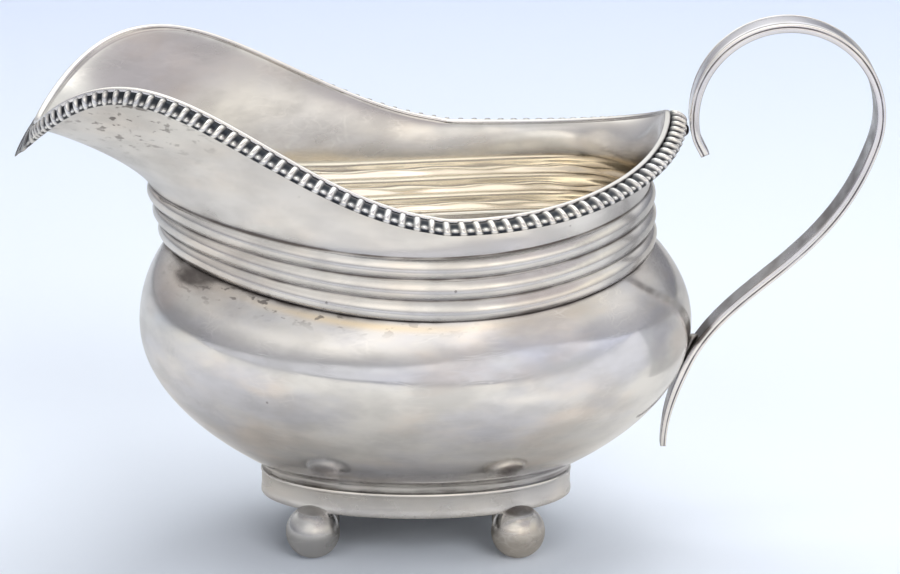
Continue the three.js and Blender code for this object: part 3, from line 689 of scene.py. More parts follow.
def gadroon(name, side):
    turn = border_turns
    phase = (np.arange(len(turn)) / STATIONS_PER_LOBE) % 1
    normals = section_normals(BORDER_SECTION)
    beak = bump(turn, np.pi, BEAK_SPREAD)
    droop = BORDER_DROOP * ease(turn, *DROOPING) - LEAF_LIFT * beak
    lean = RIB_LEAN * np.tanh((turn - LEAN_MIDDLE) / LEAN_CHANGE)
    lean = lean * ease(turn, 0, LEVEL_AT_BACK) * ease(np.pi - turn, 0, LEVEL_AT_SPOUT)
    slim = SPOUT_SLIMMING * ease(turn, *SLIMMING) * (1 - beak)
    shade = lerp(SHADE_AT_BACK, 1, ease(turn, *SHADE_GROWING))
    rows = []
    dark = []
    for index, (out, up) in enumerate(BORDER_SECTION):
        across = min(index / (TOP_POINTS - 1), 1)
        push, soot_and_shade = border_relief(phase, index)
        push = push * (1 - BEAK_SMOOTHING * beak)
        point_out = (out + normals[index, 0] * push) * (1 - slim) * (1 + BEAK_STRETCH * beak)
        point_up = (up + normals[index, 1] * push) * (1 - BEAK_THINNING * beak)
        rows.append(rim_point(side * (turn + lean * across), point_out, point_up, droop))
        dark.append(np.maximum(soot_and_shade * shade, BEAK_SHADE * beak))
    piece = loft(name, np.stack(rows, axis=1))
    set_attribute(piece, "hollow", np.stack(dark, axis=1))
    return piece


gadroon_near = gadroon("gadroon_near", -1)
gadroon_far = gadroon("gadroon_far", 1)
print("gadroon:", len(gadroon_near.data.polygons), "faces each side")

# %% [markdown]
# ## The handle's centreline
# The handle is one flat strap, forged to a long S: a tail that curls off the rim, a round loop, a
# sweep down to the bowl and a tapering tail below. Its centreline lies in the upright middle plane and
# is a chain of curves, each leaving in the direction in which the last one arrived.

# %% The handle's centreline
STRAP_THICKNESS = 1.5
JOINT_GAP = 0.3
LOOP_RADIUS = 15.2
LOOP_CENTRE_RISE = 0.6
LOOP_ENTRY = math.radians(192)
LOOP_EXIT = math.radians(-18)
SEAT_TURN = math.radians(7)
# From the loop to the upper tail's tip and from the seat to the lower one's, along the jug and up
UPPER_TAIL = np.array([1.6, -3.6])
LOWER_TAIL = np.array([-3.7, -14.6])
TAIL_PULL = 0.35
SWEEP_START_PULL = 22
SWEEP_END_PULL = 15.5
# Outermost part of the border at the back: out and up in the rim's section
BORDER_BACK = (2.8, -1.0)


def bowl_rear(rise_angle):
    return bowl_point(np.array([0.0]), rise_angle)[0, [0, 2]]


def bezier(start, pull_start, pull_end, end, count=200):
    share = np.linspace(0, 1, count)[:, None]
    return ((1 - share) ** 3 * start + 3 * (1 - share) ** 2 * share * pull_start
            + 3 * (1 - share) * share ** 2 * pull_end + share ** 3 * end)


border_rear = rim_point(np.array([0.0]), *(np.array([value]) for value in BORDER_BACK))[0, [0, 2]]
loop_centre = border_rear + [JOINT_GAP + STRAP_THICKNESS / 2 + LOOP_RADIUS, LOOP_CENTRE_RISE]


def on_loop(angle):
    return loop_centre + LOOP_RADIUS * np.stack([np.cos(angle), np.sin(angle)], axis=-1)


entry, entry_way = on_loop(LOOP_ENTRY), np.array([math.sin(LOOP_ENTRY), -math.cos(LOOP_ENTRY)])
leave, leave_way = on_loop(LOOP_EXIT), np.array([math.sin(LOOP_EXIT), -math.cos(LOOP_EXIT)])
upper_tip = entry + UPPER_TAIL
slope = unit(bowl_rear(-SEAT_TURN - SMALL_TURN) - bowl_rear(-SEAT_TURN + SMALL_TURN))
seat_point = bowl_rear(-SEAT_TURN) + np.array([-slope[1], slope[0]]) * (JOINT_GAP + STRAP_THICKNESS / 2)
lower_tip = seat_point + LOWER_TAIL
upper_pull, lower_pull = -UPPER_TAIL[1] * TAIL_PULL, -LOWER_TAIL[1] * TAIL_PULL
handle_parts = [
    bezier(upper_tip, upper_tip - UPPER_TAIL * TAIL_PULL, entry - entry_way * upper_pull, entry),
    on_loop(np.linspace(LOOP_ENTRY, LOOP_EXIT, 400)),
    bezier(leave, leave + leave_way * SWEEP_START_PULL, seat_point - slope * SWEEP_END_PULL, seat_point),
    bezier(seat_point, seat_point + slope * lower_pull, lower_tip + [0, lower_pull], lower_tip),
]
handle_line = np.concatenate([handle_parts[0]] + [part[1:] for part in handle_parts[1:]])
part_lengths = np.cumsum([np.linalg.norm(np.diff(part, axis=0), axis=1).sum() for part in handle_parts])
print("handle centreline:", round(part_lengths[-1], 1), "mm")

# %% [markdown]
# ## Strap
# The strap is widest at the top of the loop and narrows to both tips. Its edges are reeded: a fine
# groove runs inside a raised edge on the outer face, and another along each side. One section with
# these grooves is swept along the centreline, so they run on without a break.

# %% Strap
WIDTH_TOP, WIDTH_SEAT, WIDTH_TIP = 7.4, 5, 2.6
TIP_THICKNESS = 1.0
SWELL, TAPER = 0.7, 1.4
STRAP_STATIONS = 420
# Half a section from the middle of the outer face round to the middle of the inner one: how far across,
# how far out in half thicknesses, millimetres proud, then how much grime and how much dull film it holds;
# on the inner face these two are painted shade
STRAP_SECTION = [
    (0, 1, -0.02, 0, 0), (0.4, 1, -0.03, 0, 0), (0.62, 1, -0.05, 0.05, 0), (0.69, 1, -0.14, 0.8, 0.4),
    (0.74, 1, -0.24, 1, 0.6), (0.79, 1, -0.14, 0.8, 0.2), (0.83, 1, -0.03, 0.1, 0), (0.89, 1, -0.02, 0, 0),
    (0.95, 1, -0.06, 0, 0), (0.985, 1, -0.16, 0, 0), (1, 0.6, 0, 0, 0), (0.99, 0.42, 0, 0.4, 0.1),
    (0.955, 0.32, 0, 1, 0.4), (0.955, 0.22, 0, 1, 0.4), (0.99, 0.12, 0, 0.4, 0.1), (1, -0.05, 0, 0, 0),
    (1, -0.6, 0, 0, 0), (0.985, -0.84, 0, 0, 0.2), (0.94, -1, 0, 0.3, 0.8), (0.8, -1, 0, 0.6, 1),
    (0.4, -1, 0, 0.6, 1), (0, -1, 0, 0.6, 1)]


def strap_width(distance):
    tail, loop, sweep, total = part_lengths
    top = (tail + loop) / 2
    rise = lerp(WIDTH_TIP, WIDTH_TOP, np.sin(np.pi / 2 * np.clip(distance / top, 0, 1)) ** SWELL)
    narrow = lerp(WIDTH_TOP, WIDTH_SEAT, ease(distance, top, sweep))
    taper = lerp(WIDTH_SEAT, WIDTH_TIP, np.clip((distance - sweep) / (total - sweep), 0, 1) ** TAPER)
    return np.where(distance < top, rise, np.where(distance < sweep, narrow, taper))


def strap_rings(section):
    steps = np.linalg.norm(np.diff(handle_line, axis=0), axis=1)
    lengths = np.concatenate([[0], np.cumsum(steps)])
    distance = np.linspace(0, lengths[-1], STRAP_STATIONS)
    place = np.stack([np.interp(distance, lengths, handle_line[:, axis]) for axis in (0, 1)], axis=-1)
    way = unit(np.gradient(place, axis=0))
    side = np.stack([-way[:, 1], way[:, 0]], axis=-1)
    half = lerp(STRAP_THICKNESS, TIP_THICKNESS, ease(distance, part_lengths[2], part_lengths[3])) / 2
    reach = strap_width(distance) / 2
    rings = []
    for share, face, proud in section:
        point = place + side * (half * face + proud)[:, None]
        rings.append(np.stack([point[:, 0], reach * share, point[:, 1]], axis=-1))
    return np.stack(rings, axis=1)


whole_section = STRAP_SECTION + [(-share, *rest) for share, *rest in STRAP_SECTION[-2:0:-1]]
strap = loft("strap", strap_rings([row[:3] for row in whole_section]))
print("strap:", len(strap.data.polygons), "faces")

# %% [markdown]
# ### Wear on the strap
# The sides are rubbed bright by fingers, and the grooves hold tarnish. The inner face is painted darker as
# shade, and black in the corner where the strap meets the bowl.

# %% Wear on the strap
BLACK_CORNER_ABOVE, BLACK_CORNER_HALF = 5, 4.5
across_strap, facing, _, held_grime_and_shade, held_film_and_shade = np.array(whole_section, dtype=float).T
stations = np.linspace(0, part_lengths[-1], STRAP_STATIONS)
by_the_bowl = bump(stations, part_lengths[2] - BLACK_CORNER_ABOVE, BLACK_CORNER_HALF)
inner_face = (facing < -0.5) * 1.0
bright_edge = (facing > -0.7) * (np.abs(across_strap) > 0.8) * (held_grime_and_shade < 0.15)
# Painted shade: the inner face is darkened through its grime and film values
set_attribute(strap, "grime_and_shade", np.maximum(held_grime_and_shade, by_the_bowl[:, None] * inner_face))
set_attribute(strap, "film_and_shade", np.tile(held_film_and_shade, (STRAP_STATIONS, 1)))
set_attribute(strap, "rubbed", np.tile(bright_edge * 1.0, (STRAP_STATIONS, 1)))
print("points across the strap:", len(whole_section), "of which rubbed:", int(bright_edge.sum()))

# %% [markdown]
# ## Ball feet
# Four solid balls carry the jug. Each is worn flat underneath and is darkened round its top, where it
# meets the ring. A ball is a loft of level rings, because a plain sphere would have no flat.

# %% Ball feet
BALL_RADIUS = 4.5
BALL_CENTRE = 4.2
BALL_TOP = math.radians(86)
BALL_ROWS, BALL_COLUMNS = 40, 64
COLLAR_DARKNESS = 0.8
COLLAR_START, COLLAR_FULL = 46, 60
FEET_ANGLE = math.radians(FOOT_DEGREES)
FEET = {"rear_left": -FEET_ANGLE, "rear_right": FEET_ANGLE, "front_left": FEET_ANGLE - math.pi,
        "front_right": math.pi - FEET_ANGLE}


def foot_place(turn):
    turn = np.array([turn])
    return seat_plan(turn)[0], plan_normal(seat_plan, turn)[0]


def ball(name, place):
    flat = math.asin(BALL_CENTRE / BALL_RADIUS)
    angles = np.linspace(-flat, BALL_TOP, BALL_ROWS)
    around = even_turns(BALL_COLUMNS)
    rings = []
    for angle in angles:
        radius = BALL_RADIUS * math.cos(angle)
        height = BALL_CENTRE + BALL_RADIUS * math.sin(angle)
        rings.append(np.stack([place[0] + radius * np.cos(around), place[1] + radius * np.sin(around),
                               np.full_like(around, height)], axis=-1))
    piece = loft(name, np.stack(rings))
    collar = COLLAR_DARKNESS * ease(np.degrees(angles), COLLAR_START, COLLAR_FULL)
    set_attribute(piece, "grime_and_shade", np.tile(collar[:, None], (1, BALL_COLUMNS)))
    return piece


print("the balls' flats:", round(2 * math.sqrt(BALL_RADIUS ** 2 - BALL_CENTRE ** 2), 1), "mm wide")

# %% [markdown]
# ### Brackets
# Each ball is held from inside by a tongue, bent from strip. It is a small section swept along an arc
# round its ball and then straight up behind the ring. One section makes all four.

# %% Brackets
BRACKET_INNER, BRACKET_OUTER = BALL_RADIUS + 0.1, BALL_RADIUS + 1.3
BRACKET_START, BRACKET_END = math.radians(-28), math.radians(72)
BRACKET_ROWS = 24
BRACKET_HALF_WIDTH = 2.2
BRACKET_TIP_SHARE = 0.55
BRACKET_WIDENING = 2.2
BRACKET_TOP = 11.3
BRACKET_WALL = 1.1
BRACKET_GRIME = 0.75
BRACKET_SECTION = [(BRACKET_INNER, -1), (BRACKET_INNER, 0), (BRACKET_INNER, 1), (BRACKET_OUTER - 0.3, 1),
                   (BRACKET_OUTER, 0.8), (BRACKET_OUTER, 0), (BRACKET_OUTER, -0.8), (BRACKET_OUTER - 0.3, -1)]
OUTER_CORNER = 4


def bracket(name, place, normal):
    rings = []
    for angle in np.linspace(BRACKET_START, BRACKET_END, BRACKET_ROWS):
        share = (angle - BRACKET_START) / (BRACKET_END - BRACKET_START)
        widening = math.sin(math.pi / 2 * min(1, share * BRACKET_WIDENING))
        half_width = BRACKET_HALF_WIDTH * lerp(BRACKET_TIP_SHARE, 1, widening)
        rings.append([(radius * math.cos(angle), BALL_CENTRE + radius * math.sin(angle), across * half_width)
                      for radius, across in BRACKET_SECTION])
    # The last ring stands straight up behind the collet ring's wall
    last = rings[-1]
    near_wall = last[OUTER_CORNER][0] - 0.9
    rings.append([(BRACKET_WALL if inwards < near_wall else 2 * BRACKET_WALL, BRACKET_TOP, across)
                  for inwards, height, across in last])
    level = np.array([normal[1], -normal[0]])
    points = np.array(rings)
    flat = place - points[..., :1] * normal + points[..., 2:] * level
    piece = loft(name, np.concatenate([flat, points[..., 1:2]], axis=-1))
    set_attribute(piece, "grime_and_shade", np.full(points.shape[:2], BRACKET_GRIME))
    return piece


feet = {}
for corner, turn in FEET.items():
    place, normal = foot_place(turn)
    feet["foot_ball_" + corner] = ball("ball_" + corner, place)
    feet["foot_bracket_" + corner] = bracket("bracket_" + corner, place, normal)
print("feet:", sorted(feet))

# %% [markdown]
# ## Solder at the handle
# Two drops of solder hold the handle: a round one between the border and the loop, and a thin wedge that
# fills the corner between the bowl and the strap's inner face. The wedge takes its shape from both.

# %% Solder at the handle
DROP_SIZE = (1.15, 1.5, 1.2)
DROP_ROWS, DROP_COLUMNS = 16, 24
DROP_END = 1.45
WEDGE_LOW, WEDGE_HIGH, WEDGE_HALF_WIDTH = 30.8, 34.9, 1.3
WEDGE_ROWS = 12
WEDGE_NARROWING = 0.35
WEDGE_OVERLAP = 0.12
SWEEP_BELOW = 60


def drop(name, packed):
    """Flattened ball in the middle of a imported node's box."""
    low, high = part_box(packed)
    centre = [(low[axis] + high[axis]) / 2 / MM for axis in range(3)]
    centre[0] -= JUG_MIDDLE / MM
    around = even_turns(DROP_COLUMNS)
    rings = [np.stack([centre[0] + DROP_SIZE[0] * math.cos(angle) * np.cos(around),
                       centre[1] + DROP_SIZE[1] * math.cos(angle) * np.sin(around),
                       np.full_like(around, centre[2] + DROP_SIZE[2] * math.sin(angle))], axis=-1)
             for angle in np.linspace(-DROP_END, DROP_END, DROP_ROWS)]
    return loft(name, np.stack(rings))


def wedge(name):
    """Solder that fills the narrow corner between the bowl and the strap's inner face."""
    heights = np.linspace(WEDGE_LOW, WEDGE_HIGH, WEDGE_ROWS)
    bowl_side = np.array([bowl_rear(angle) for angle in np.linspace(-LOWER_TURN, 0, 80)])
    x_bowl = np.interp(heights, bowl_side[:, 1], bowl_side[:, 0])
    way = unit(np.gradient(handle_line, axis=0))
    inner_face = handle_line + np.stack([way[:, 1], -way[:, 0]], axis=-1) * STRAP_THICKNESS / 2
    sweep = handle_line[:, 1] < SWEEP_BELOW
    sweep &= np.arange(len(handle_line)) > len(handle_parts[0]) + len(handle_parts[1])
    x_strap = np.interp(heights, inner_face[sweep][::-1, 1], inner_face[sweep][::-1, 0])
    rings = []
    for height, left, right in zip(heights, x_bowl, x_strap):
        reach = WEDGE_HALF_WIDTH * (1 - WEDGE_NARROWING * (height - WEDGE_LOW) / (WEDGE_HIGH - WEDGE_LOW))
        middle, half = (left + right) / 2, (right - left) / 2 + WEDGE_OVERLAP
        rings.append([(middle + half * math.cos(angle), reach * math.sin(angle), height)
                      for angle in even_turns(DROP_COLUMNS)])
    return loft(name, rings)


solder_upper = drop("solder_at_rim", "handle_solder_upper")
set_attribute(solder_upper, "grime_and_shade", np.ones(len(solder_upper.data.vertices)))
solder_lower = wedge("solder_at_bowl")
print("solder at the bowl:", [round(value, 2) for value in solder_lower.dimensions / MM], "mm")

# %% [markdown]
# ## Shader building blocks
# Polished silver is a mirror, so its look comes from what it reflects and from how its surface is worn.
# The wear is drawn with noise that is fixed to the object. A few helpers place the nodes: one for sums,
# one to stretch a value, one to turn and stretch the place, one for soft clouds and one for hairlines.

# %% Shader building blocks
def node(tree, kind, **values):
    made = tree.nodes.new(kind)
    for key, value in values.items():
        setattr(made, key, value)
    return made


def open_group(name, inputs, outputs):
    """New node group with number sockets; inputs carry their defaults, and a triple makes a vector."""
    group = bpy.data.node_groups.new(name, "ShaderNodeTree")
    for label, default in inputs:
        kind = "NodeSocketVector" if isinstance(default, tuple) else "NodeSocketFloat"
        group.interface.new_socket(label, in_out="INPUT", socket_type=kind).default_value = default
    for label in outputs:
        group.interface.new_socket(label, in_out="OUTPUT", socket_type="NodeSocketFloat")
    return group, node(group, "NodeGroupInput"), node(group, "NodeGroupOutput")


def calculate(tree, operation, first, second=0):
    step = node(tree, "ShaderNodeMath", operation=operation)
    for socket, value in ((0, first), (1, second)):
        if isinstance(value, (int, float)):
            step.inputs[socket].default_value = value
        else:
            tree.links.new(value, step.inputs[socket])
    return step.outputs["Value"]


def spread(tree, value, low, high, start=0, end=1, kind="SMOOTHSTEP"):
    """Stretch the values between two limits, by default to 0 and 1."""
    stretched = node(tree, "ShaderNodeMapRange", interpolation_type=kind)
    for label, number in (("From Min", low), ("From Max", high), ("To Min", start), ("To Max", end)):
        stretched.inputs[label].default_value = number
    tree.links.new(value, stretched.inputs["Value"])
    return stretched.outputs["Result"]


def moved(tree, place, **settings):
    """The same place, shifted, turned or stretched before a texture reads it."""
    mapping = node(tree, "ShaderNodeMapping")
    for label, value in settings.items():
        mapping.inputs[label.capitalize()].default_value = value
    tree.links.new(place, mapping.inputs["Vector"])
    return mapping.outputs["Vector"]


def noise(tree, place, scale, detail):
    texture = node(tree, "ShaderNodeTexNoise")
    texture.inputs["Scale"].default_value = scale
    texture.inputs["Detail"].default_value = detail
    tree.links.new(place, texture.inputs["Vector"])
    return texture.outputs["Fac"]


def cloud(tree, place, scale, low, high, detail=4):
    """Soft patches between 0 and 1."""
    return spread(tree, noise(tree, place, scale, detail), low, high)


def hairlines(tree, place, rotation, stretch, scale, width):
    """Thin lines where a stretched noise passes its middle value."""
    waves = noise(tree, moved(tree, place, rotation=rotation, scale=stretch), scale, 1.5)
    distance = calculate(tree, "ABSOLUTE", calculate(tree, "SUBTRACT", waves, 0.5))
    return spread(tree, distance, 0, width, 1, 0, "LINEAR")


print("shader helpers ready")

# %% [markdown]
# ## Hand wear
# Years of polishing leave hairline scratches in every direction, broken up by smoother zones, and broad
# clouds of warmer, cooler and duller metal. Rubbing runs round the jug, so the clouds are longer than
# they are high. Every finish shares this group, which puts out masks and a height for the bump.

# %% Hand wear
def wear_group():
    group, inputs, outputs = open_group("hand wear", [("Hairlines", 1.0)],
                                        ["Scratches", "Warm", "Cool", "Dull", "Height"])
    place = node(group, "ShaderNodeTexCoord").outputs["Object"]
    lines = hairlines(group, place, rotation=(0.3, 0.2, 0.5), stretch=(0.15, 1, 1), scale=260, width=0.022)
    for rotation, stretch, scale, width in (((0.5, 1.2, -0.7), (0.12, 1, 1), 340, 0.019),
                                            ((1.1, 0.4, 0.2), (0.25, 1, 1), 520, 0.028)):
        lines = calculate(group, "MAXIMUM", lines, hairlines(group, place, rotation, stretch, scale, width))
    broken = calculate(group, "MULTIPLY", lines, cloud(group, place, scale=150, low=0.45, high=0.62))
    scratches = calculate(group, "MULTIPLY", broken, inputs.outputs["Hairlines"])
    drawn_out = moved(group, place, scale=(0.45, 0.45, 1))
    elsewhere = moved(group, drawn_out, location=(0.31, 0.17, 0.53))
    ripple = calculate(group, "MULTIPLY", cloud(group, place, scale=60, low=0.2, high=0.8, detail=2), 4.0)
    masks = {"Scratches": scratches,
             "Warm": cloud(group, drawn_out, scale=110, low=0.42, high=0.66),
             "Cool": cloud(group, elsewhere, scale=95, low=0.42, high=0.66),
             "Dull": cloud(group, drawn_out, scale=240, low=0.35, high=0.7, detail=6),
             "Height": calculate(group, "SUBTRACT", ripple, calculate(group, "MULTIPLY", scratches, 0.15))}
    for label, mask in masks.items():
        group.links.new(mask, outputs.inputs[label])
    return group


HAND_WEAR = wear_group()
print("hand wear:", len(HAND_WEAR.nodes), "nodes")

# %% [markdown]
# ## Tarnish and painted shade
# Tarnish, and the painted shade in grooves, corners and shaded sides, gathers where the attribute for
# both is high. Its edge is broken by a patchy noise that was wiped round the jug, so it looks like a crust
# and not like paint. The group also gives rare dark pits and short slanting marks, for the zones that are
# bruised.

# %% Tarnish
WIPED = (0.4, 0.4, 1)


def tarnish_group():
    group, inputs, outputs = open_group("tarnish and shade", [("Grime and shade", 0.0)], ["Mask", "Specks", "Marks"])
    place = node(group, "ShaderNodeTexCoord").outputs["Object"]
    patchy = cloud(group, moved(group, place, scale=WIPED), scale=330, low=0.3, high=0.72, detail=8)
    broken = calculate(group, "ADD", calculate(group, "MULTIPLY", patchy, 0.6), 0.5)
    reach = calculate(group, "MULTIPLY", inputs.outputs["Grime and shade"], broken)
    pits = node(group, "ShaderNodeTexVoronoi")
    pits.inputs["Scale"].default_value = 420
    group.links.new(place, pits.inputs["Vector"])
    dots = spread(group, pits.outputs["Distance"], 0.07, 0.12, 1, 0, "LINEAR")
    rare = cloud(group, place, scale=330, low=0.62, high=0.7, detail=2)
    slanting = moved(group, place, scale=WIPED, rotation=(0, 0.5, 0))
    masks = {"Mask": spread(group, reach, 0.12, 0.85),
             "Specks": calculate(group, "MULTIPLY", dots, rare),
             "Marks": cloud(group, slanting, scale=1050, low=0.57, high=0.645, detail=3)}
    for label, mask in masks.items():
        group.links.new(mask, outputs.inputs[label])
    return group


TARNISH_AND_SHADE_MARKS = tarnish_group()
print("tarnish:", len(TARNISH_AND_SHADE_MARKS.nodes), "nodes")

# %% [markdown]
# ## Silver finishes
# Every finish is the same metal with its own tones. The tone drifts between clean, warm and cool, takes
# the gilding where there is any, then the film with its painted shade, the rubbed polish, the scratches
# and last the tarnish with its painted shade. Dull, tarnished and painted-shade places are rougher as
# well, which blurs what they mirror.

# %% Silver
FILM_AND_SHADE_GREY = (0.35, 0.345, 0.35)
RUBBED_WHITE = (0.95, 0.92, 0.89)
SCRATCH_WHITE = (0.95, 0.94, 0.93)
GILT = (0.99, 0.97, 0.925)
AMBER = (0.94, 0.77, 0.53)
RIPPLE_HEIGHT = 0.012


def blend(tree, factor, first, second, mode="MIX"):
    """Colour mix whose sides are sockets or plain colours."""
    mixed = node(tree, "ShaderNodeMix", data_type="RGBA", blend_type=mode)
    tree.links.new(factor, mixed.inputs["Factor"])
    for socket, value in ((6, first), (7, second)):
        if isinstance(value, tuple):
            mixed.inputs[socket].default_value = (*value, 1)
        else:
            tree.links.new(value, mixed.inputs[socket])
    return mixed.outputs[2]


def attribute(tree, name):
    return node(tree, "ShaderNodeAttribute", attribute_name=name).outputs["Fac"]


def share_of(tree, mask, amount):
    return calculate(tree, "MULTIPLY", mask, amount)


def silver_tone(tree, wear, dirt_and_shade, clean, warm, cool, grime_and_shade, gilded):
    tone = blend(tree, wear["Warm"], clean, warm)
    tone = blend(tree, wear["Cool"], tone, cool)
    tone = blend(tree, share_of(tree, wear["Dull"], 0.35), tone, FILM_AND_SHADE_GREY)
    if gilded:
        tone = blend(tree, attribute(tree, "gilt"), tone, GILT)
        tone = blend(tree, attribute(tree, "amber"), tone, AMBER)
    # The film and tarnish layers also paint shade where the pieces' attributes carry it
    bruises = calculate(tree, "MULTIPLY", attribute(tree, "bruised"), dirt_and_shade["Marks"])
    # Each layer's mask, how strongly it covers and its colour, from the first to the last
    for mask, amount, colour in ((attribute(tree, "film_and_shade"), 0.8, FILM_AND_SHADE_GREY),
                                 (attribute(tree, "rubbed"), 0.7, RUBBED_WHITE),
                                 (wear["Scratches"], 0.12, SCRATCH_WHITE),
                                 (bruises, 0.85, grime_and_shade),
                                 (dirt_and_shade["Mask"], 1, grime_and_shade),
                                 (dirt_and_shade["Specks"], 0.6, grime_and_shade)):
        tone = blend(tree, share_of(tree, mask, amount), tone, colour)
    return tone


def silver(name, clean, warm, cool, grime_and_shade, roughness, hairline=1.0, gilded=False):
    """Metal whose tone drifts between clean, warm and cool, darker where the attribute for tarnish and
    painted shade is high.
    """
    material = bpy.data.materials.new(name)
    material.use_nodes = True
    tree = material.node_tree
    shader = tree.nodes["Principled BSDF"]
    shader.inputs["Metallic"].default_value = 1
    wear = node(tree, "ShaderNodeGroup", node_tree=HAND_WEAR)
    wear.inputs["Hairlines"].default_value = hairline
    dirt_and_shade = node(tree, "ShaderNodeGroup", node_tree=TARNISH_AND_SHADE_MARKS)
    tree.links.new(attribute(tree, "grime_and_shade"), dirt_and_shade.inputs["Grime and shade"])
    tone = silver_tone(tree, wear.outputs, dirt_and_shade.outputs, clean, warm, cool, grime_and_shade, gilded)
    tree.links.new(tone, shader.inputs["Base Color"])
    blur = calculate(tree, "ADD", share_of(tree, wear.outputs["Dull"], 0.10), roughness)
    blur = calculate(tree, "ADD", blur, share_of(tree, dirt_and_shade.outputs["Mask"], 0.2))
    blur = calculate(tree, "ADD", blur, share_of(tree, attribute(tree, "film_and_shade"), 0.08))
    tree.links.new(blur, shader.inputs["Roughness"])
    relief = node(tree, "ShaderNodeBump")
    relief.inputs["Distance"].default_value = RIPPLE_HEIGHT * MM
    tree.links.new(wear.outputs["Height"], relief.inputs["Height"])
    tree.links.new(relief.outputs["Normal"], shader.inputs["Normal"])
    return material


print("gilding:", GILT, "towards the handle:", AMBER)

# %% [markdown]
# ### Finishes of the pieces
# Each finish has a clean, a warm and a cool tone, then the colour of its tarnish and painted shade, and its
# roughness. The bowl and the neck can be gilt. The balls are duller and more scratched, and solder is a
# grey, soft metal. The border was cast: it is whiter, and its hollows are painted nearly black as the dark
# reflection and shade they show, while each bead keeps a painted highlight.

# %% Finishes of the pieces
TARNISH_AND_SHADE = (0.15, 0.135, 0.13)
SOLDER_TARNISH = (0.10, 0.09, 0.09)
HOLLOW_SHADE_BLACK = (0.035, 0.04, 0.05)
BOWL_SILVER = silver("worn bowl silver", (0.83, 0.82, 0.80), (0.87, 0.80, 0.74), (0.70, 0.71, 0.77),
                     TARNISH_AND_SHADE, 0.10, hairline=1.6, gilded=True)
NECK_SILVER = silver("worn neck silver", (0.82, 0.81, 0.79), (0.84, 0.79, 0.74), (0.76, 0.76, 0.77),
                     TARNISH_AND_SHADE, 0.16, gilded=True)
RING_SILVER = silver("ring silver", (0.78, 0.765, 0.74), (0.78, 0.73, 0.68), (0.66, 0.66, 0.68),
                     TARNISH_AND_SHADE, 0.2)
LIP_SILVER = silver("rubbed lip silver", (0.85, 0.85, 0.86), (0.86, 0.83, 0.82), (0.77, 0.78, 0.86),
                    TARNISH_AND_SHADE, 0.12)
STRAP_SILVER = silver("strap silver", (0.83, 0.825, 0.87), (0.83, 0.79, 0.79), (0.72, 0.73, 0.83),
                      TARNISH_AND_SHADE, 0.12)
FOOT_SILVER = silver("foot silver", (0.64, 0.635, 0.62), (0.62, 0.58, 0.53), (0.50, 0.51, 0.53),
                     TARNISH_AND_SHADE, 0.24, hairline=3)
SOLDER = silver("solder", (0.34, 0.33, 0.32), (0.30, 0.28, 0.26), (0.26, 0.26, 0.28),
                SOLDER_TARNISH, 0.34)


def gadroon_silver():
    """Bright cast ribs over hollows painted nearly black as dark reflection and shade."""
    material = silver("cast border silver", (0.97, 0.97, 0.97), (0.95, 0.93, 0.90), (0.92, 0.93, 0.96),
                      TARNISH_AND_SHADE, 0.12)
    tree = material.node_tree
    base = tree.nodes["Principled BSDF"].inputs["Base Color"]
    tree.links.new(blend(tree, attribute(tree, "hollow"), base.links[0].from_socket, HOLLOW_SHADE_BLACK), base)
    return material


BORDER_SILVER = gadroon_silver()
print("materials:", len(bpy.data.materials))

# %% [markdown]
# ## Dress the model
# Each piece takes its finish, rides on the jug's one body and stands for the imported node that it
# replaces.

# %% Dress the model
def dress(piece, material, slot, *nodes):
    piece.data.materials.append(material)
    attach(piece, "root")
    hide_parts(*nodes)


dress(bowl, BOWL_SILVER, "worn_silver", "lower_body")
dress(neck, NECK_SILVER, "neck_silver", "upper_body")
dress(ring, RING_SILVER, "worn_silver", "collet_ring")
dress(lip, LIP_SILVER, "neck_silver", "rim_lip")
dress(gadroon_near, BORDER_SILVER, "border_silver", "gadroon_left")
dress(gadroon_far, BORDER_SILVER, "border_silver", "gadroon_right")
dress(strap, STRAP_SILVER, "handle_silver", "handle_strap")
dress(solder_upper, SOLDER, "solder_silver", "handle_solder_upper")
dress(solder_lower, SOLDER, "solder_silver", "handle_solder_lower")
for node_name, piece in feet.items():
    dress(piece, FOOT_SILVER, "foot_silver", node_name)
print("feet dressed:", len(feet))

# %% [markdown]
# ## Table and cards
# The jug stands on a plain pale table. Silver shows the room, so the room matters as much as the metal.
# The metal doesn't mirror the table itself but four cards that lie on it and that only reflections can
# see. They stand for the warmer paper near the jug, a painted shadow along the paper's front edge, the
# room in front of it and the darker part under the handle.

# %% Sheets for the table
def fade_along_y(tree, tones):
    """Colour that changes from front to back; each tone has its place in metres."""
    place = node(tree, "ShaderNodeTexCoord").outputs["Object"]
    split = node(tree, "ShaderNodeSeparateXYZ")
    tree.links.new(place, split.inputs["Vector"])
    first, last = tones[0][0], tones[-1][0]
    share = spread(tree, split.outputs["Y"], first, last, kind="LINEAR")
    ramp = node(tree, "ShaderNodeValToRGB")
    while len(ramp.color_ramp.elements) < len(tones):
        ramp.color_ramp.elements.new(0.5)
    for element, (y, colour) in zip(ramp.color_ramp.elements, tones):
        element.position = (y - first) / (last - first)
        element.color = (*colour, 1)
    tree.links.new(share, ramp.inputs["Fac"])
    return ramp.outputs["Color"]


